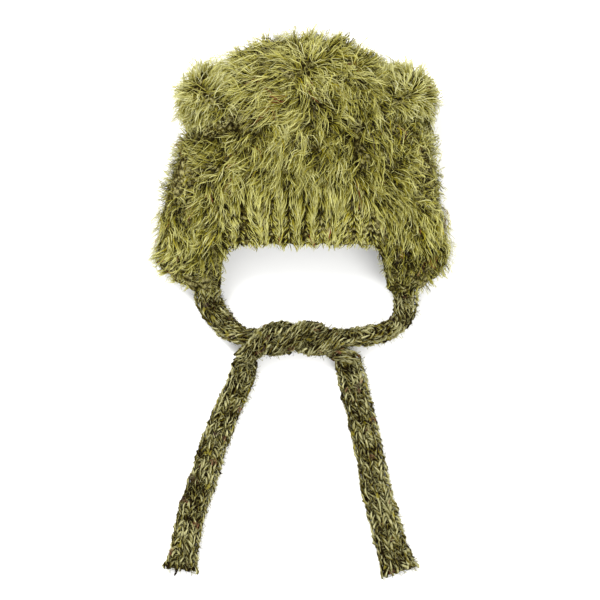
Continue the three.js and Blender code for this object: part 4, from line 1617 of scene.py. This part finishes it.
def flat_core(name, rows):
    """The inside of a tie as a flat sheet that is wrapped into a tube, its two edges meeting. It
    comes out dark in the yarn's material, as painted shade seen between the stitches.
    """
    columns = 2 * tie_wales
    points = []
    for r in range(rows + 1):
        for c in range(columns + 1):
            points.append((c / 2 * tie_wale_width, (r - 0.5) * tie_row_height, -core_depth))
    faces = []
    for r in range(rows):
        for c in range(columns):
            a = r * (columns + 1) + c
            faces.append((a, a + 1, a + columns + 2, a + columns + 1))
    return mesh_object(name, points, faces)


# Tweed yarn: three loose plies, dark brown, olive and cream, with a few dyed flecks. Wool, fully
# matt. Each leg of a stitch shows as thin pale lines over dark ones, in clouds of 13 mm.
ply_marl_size = 3.333
ply_cloud_size = 13.33
yarn_fleck_size = 3.846
yarn_fleck_share = 0.06
yarn_fibre_size = 0.625


def tweed_yarn(name):
    material, tree, shader = new_material(name, 0.95, 0.05)
    tone = add(tree, "ShaderNodeAttribute", {"attribute_name": "ply_tone"}, {}).outputs["Fac"]
    shade = add(tree, "ShaderNodeAttribute", {"attribute_name": "shade"}, {}).outputs["Fac"]
    place = add(tree, "ShaderNodeTexCoord", {}, {}).outputs["Object"]
    marl_scale = 1 / (ply_marl_size * mm)
    cloud_scale = 1 / (ply_cloud_size * mm)
    fibre_scale = 1 / (yarn_fibre_size * mm)
    marl_inputs = {"Vector": place, "Scale": marl_scale, "Detail": 3.0, "Roughness": 0.6}
    marl = add(tree, "ShaderNodeTexNoise", {}, marl_inputs)
    turned = add(tree, "ShaderNodeMath", times_plus, {0: shade, 1: 3.1, 2: tone})
    ply = add(tree, "ShaderNodeMath", fraction, {0: turned})
    mixed = add(tree, "ShaderNodeMath", times_plus, {0: marl, 1: 0.9, 2: ply})
    cloud = add(tree, "ShaderNodeTexNoise", {}, {"Vector": place, "Scale": cloud_scale, "Detail": 1.0})
    clouded = add(tree, "ShaderNodeMath", times_plus, {0: mixed, 1: 0.6, 2: cloud})
    level = add(tree, "ShaderNodeMath", plus, {0: clouded, 1: -0.42})
    ramp = add(tree, "ShaderNodeValToRGB", {}, {"Fac": level})
    colour_stops(ramp, [(0.5, "#1b1204"), (0.68, "#655c22"), (0.88, "#aca87a")])
    colours = [(0.0, "#8e8430"), (0.4, "#6e4a36"), (0.75, "#43342f")]
    dyes, rare = dyed_flecks(tree, place, yarn_fleck_size, yarn_fleck_share, colours)
    dyed = add(tree, "ShaderNodeMath", times, {0: rare, 1: 0.75})
    coloured = add(tree, "ShaderNodeMix", {"data_type": "RGBA"}, {"Factor": dyed, 6: ramp, 7: dyes})
    tree.links.new(coloured.outputs[2], shader.inputs["Base Color"])
    fibre = add(tree, "ShaderNodeTexNoise", {}, {"Vector": place, "Scale": fibre_scale, "Detail": 2.0})
    bump = add(tree, "ShaderNodeBump", {}, {"Strength": 0.6, "Distance": 0.6 * mm, "Height": fibre})
    tree.links.new(bump.outputs["Normal"], shader.inputs["Normal"])
    return material


def tie_piece(name, route, seed):
    """A tie's stitches and core, knitted flat and then wrapped round its route."""
    rows = round((route.full_length - seam_length) / tie_row_height)
    core = flat_core(name, rows)
    values = {
        "Stitch": v_stitch,
        "Wales": tie_wales,
        "Rows": rows,
        "Wale Width": tie_wale_width,
        "Row Height": tie_row_height,
        "Seed": seed,
        "Finish": tie_yarn,
    }
    made = grown(name, core, knitting, values)
    bpy.data.objects.remove(core)
    made.name = name
    mesh = made.data
    flat = np.empty(3 * len(mesh.vertices), np.float32)
    mesh.vertices.foreach_get("co", flat)
    flat = flat.reshape(-1, 3)
    share = -flat[:, 0] / (tie_wales * tie_wale_width)
    rise = flat[:, 1] / (rows * tie_row_height)
    knitted_length = route.full_length + 1 - seam_length
    length = seam_length + first_row_gap + np.clip(rise, -0.02, 1.0) * knitted_length
    rolled = cast_off_roll * np.clip((length - route.full_length) / tie_row_height + 1, 0, 1)
    wrapped = route.wrap(share, length, flat[:, 2] + rolled)
    wrapped[:, 2] = np.maximum(wrapped[:, 2], least_height)
    mesh.vertices.foreach_set("co", (wrapped * mm).astype(np.float32).ravel())
    shape = bmesh.new()
    shape.from_mesh(mesh)
    rims = {vertex for edge in shape.edges if edge.is_boundary for vertex in edge.verts}
    bmesh.ops.remove_doubles(shape, verts=list(rims), dist=1e-5)
    bmesh.ops.holes_fill(shape, edges=[edge for edge in shape.edges if edge.is_boundary])
    shape.to_mesh(mesh)
    shape.free()
    return made


def yarn_end(name, points, radius):
    """A free end of yarn through points in millimetres, tapering a little to its tip."""
    sides = 6
    middle = smooth_route(np.array(points, float), 4)
    tangent = unit(np.gradient(middle, axis=0))
    across = unit(np.cross(tangent, (0, 0, 1)))
    up = np.cross(across, tangent)
    rings = []
    for at, (centre, side, rise) in enumerate(zip(middle, across, up)):
        size = radius * (1 - 0.4 * at / len(middle))
        for k in range(sides):
            angle = 2 * math.pi * k / sides
            rings.append((centre + size * (side * math.cos(angle) + rise * math.sin(angle))) * mm)
    faces = [tuple(range(sides)), tuple(len(rings) - 1 - k for k in range(sides))]
    faces += grid_faces(len(middle), sides, 0, False)
    return mesh_object(name, rings, faces)


def tie_skin(route):
    """A tube just inside a tie's surface, dressed for the loose fibres that are rooted in it."""
    around = 20
    rows = round(route.full_length / 4)
    length = np.linspace(seam_length + 2, route.full_length + 1, rows)
    share = -np.arange(around) / around
    all_lengths, all_shares = (grid.ravel() for grid in np.meshgrid(length, share, indexing="ij"))
    points = route.wrap(all_shares, all_lengths, -fuzz_root_depth)
    points[:, 2] = np.maximum(points[:, 2], least_height)
    faces = []
    for r in range(rows - 1):
        for c in range(around):
            a = r * around + c
            b = r * around + (c + 1) % around
            faces.append((a, b, b + around, a + around))
    skin = mesh_object("tie_skin", points * mm, faces)
    tangent = unit(np.gradient(route.middle, axis=0))
    out = unit(points - route.at(route.middle, all_lengths))
    dress(
        skin,
        comb=route.at(tangent, all_lengths) * 0.4,
        pile_length=tie_fuzz_length * mm,
        pile_density=np.clip(0.75 + out[:, 2], 0.1, 1),
        pile_scatter=1.0,
        pile_swirl=0.2,
        pile_lock=0.0,
        pile_curl=1.0,
        pile_light=0.1,
        gather=np.zeros(3),
    )
    return skin


# The fine fibres that stand off the ties: the same wool, brushed loose and pale.
loose_fibre = brushed_fibre("loose_tie_fibre", "#2a2509", "#6f6a33", "#b0ac74", "#bab68a", 0.03)
fuzz_strand = strand_template("fuzz_strand", [0.0, 0.45], 0.4)
tie_fuzz = {
    **halo_fuzz,
    "Strand": fuzz_strand,
    "Density": 320000.0,
    "Width": 0.0003,
    "Disorder": 0.9,
    "Wave Reach": 0.005,
    "Curl Reach": 0.0022,
    "Finish": loose_fibre,
}
v_stitch = stitch_template("v_stitch")
knitting = knitting_tree()
tie_yarn = tweed_yarn("three_ply_tweed_yarn")
left_route = Route(np.concatenate([laid(left_lead), knotted(0, 1), laid(right_tail)]))
right_route = Route(np.concatenate([laid(right_lead), knotted(math.pi, -1)[::-1], laid(left_tail)]))
for name, route, seed in (("tie_left", left_route, 31), ("tie_right", right_route, 32)):
    tie = tie_piece(name + "_knit", route, seed)
    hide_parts(name)
    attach(tie, "root")
    skin = tie_skin(route)
    fuzz = grown(name + "_fuzz", skin, combed_pile, {**tie_fuzz, "Seed": seed})
    bpy.data.objects.remove(skin)
    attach(fuzz, "root")
    if name == "tie_right":
        end = yarn_end("tie_right_yarn_end", yarn_end_points, yarn_end_radius)
        end.data.materials.append(tie_yarn)
        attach(end, "root")
    path = route.at(route.middle, np.linspace(seam_length, route.full_length, path_points)) * mm
bpy.data.objects.remove(v_stitch)
bpy.data.objects.remove(fuzz_strand)
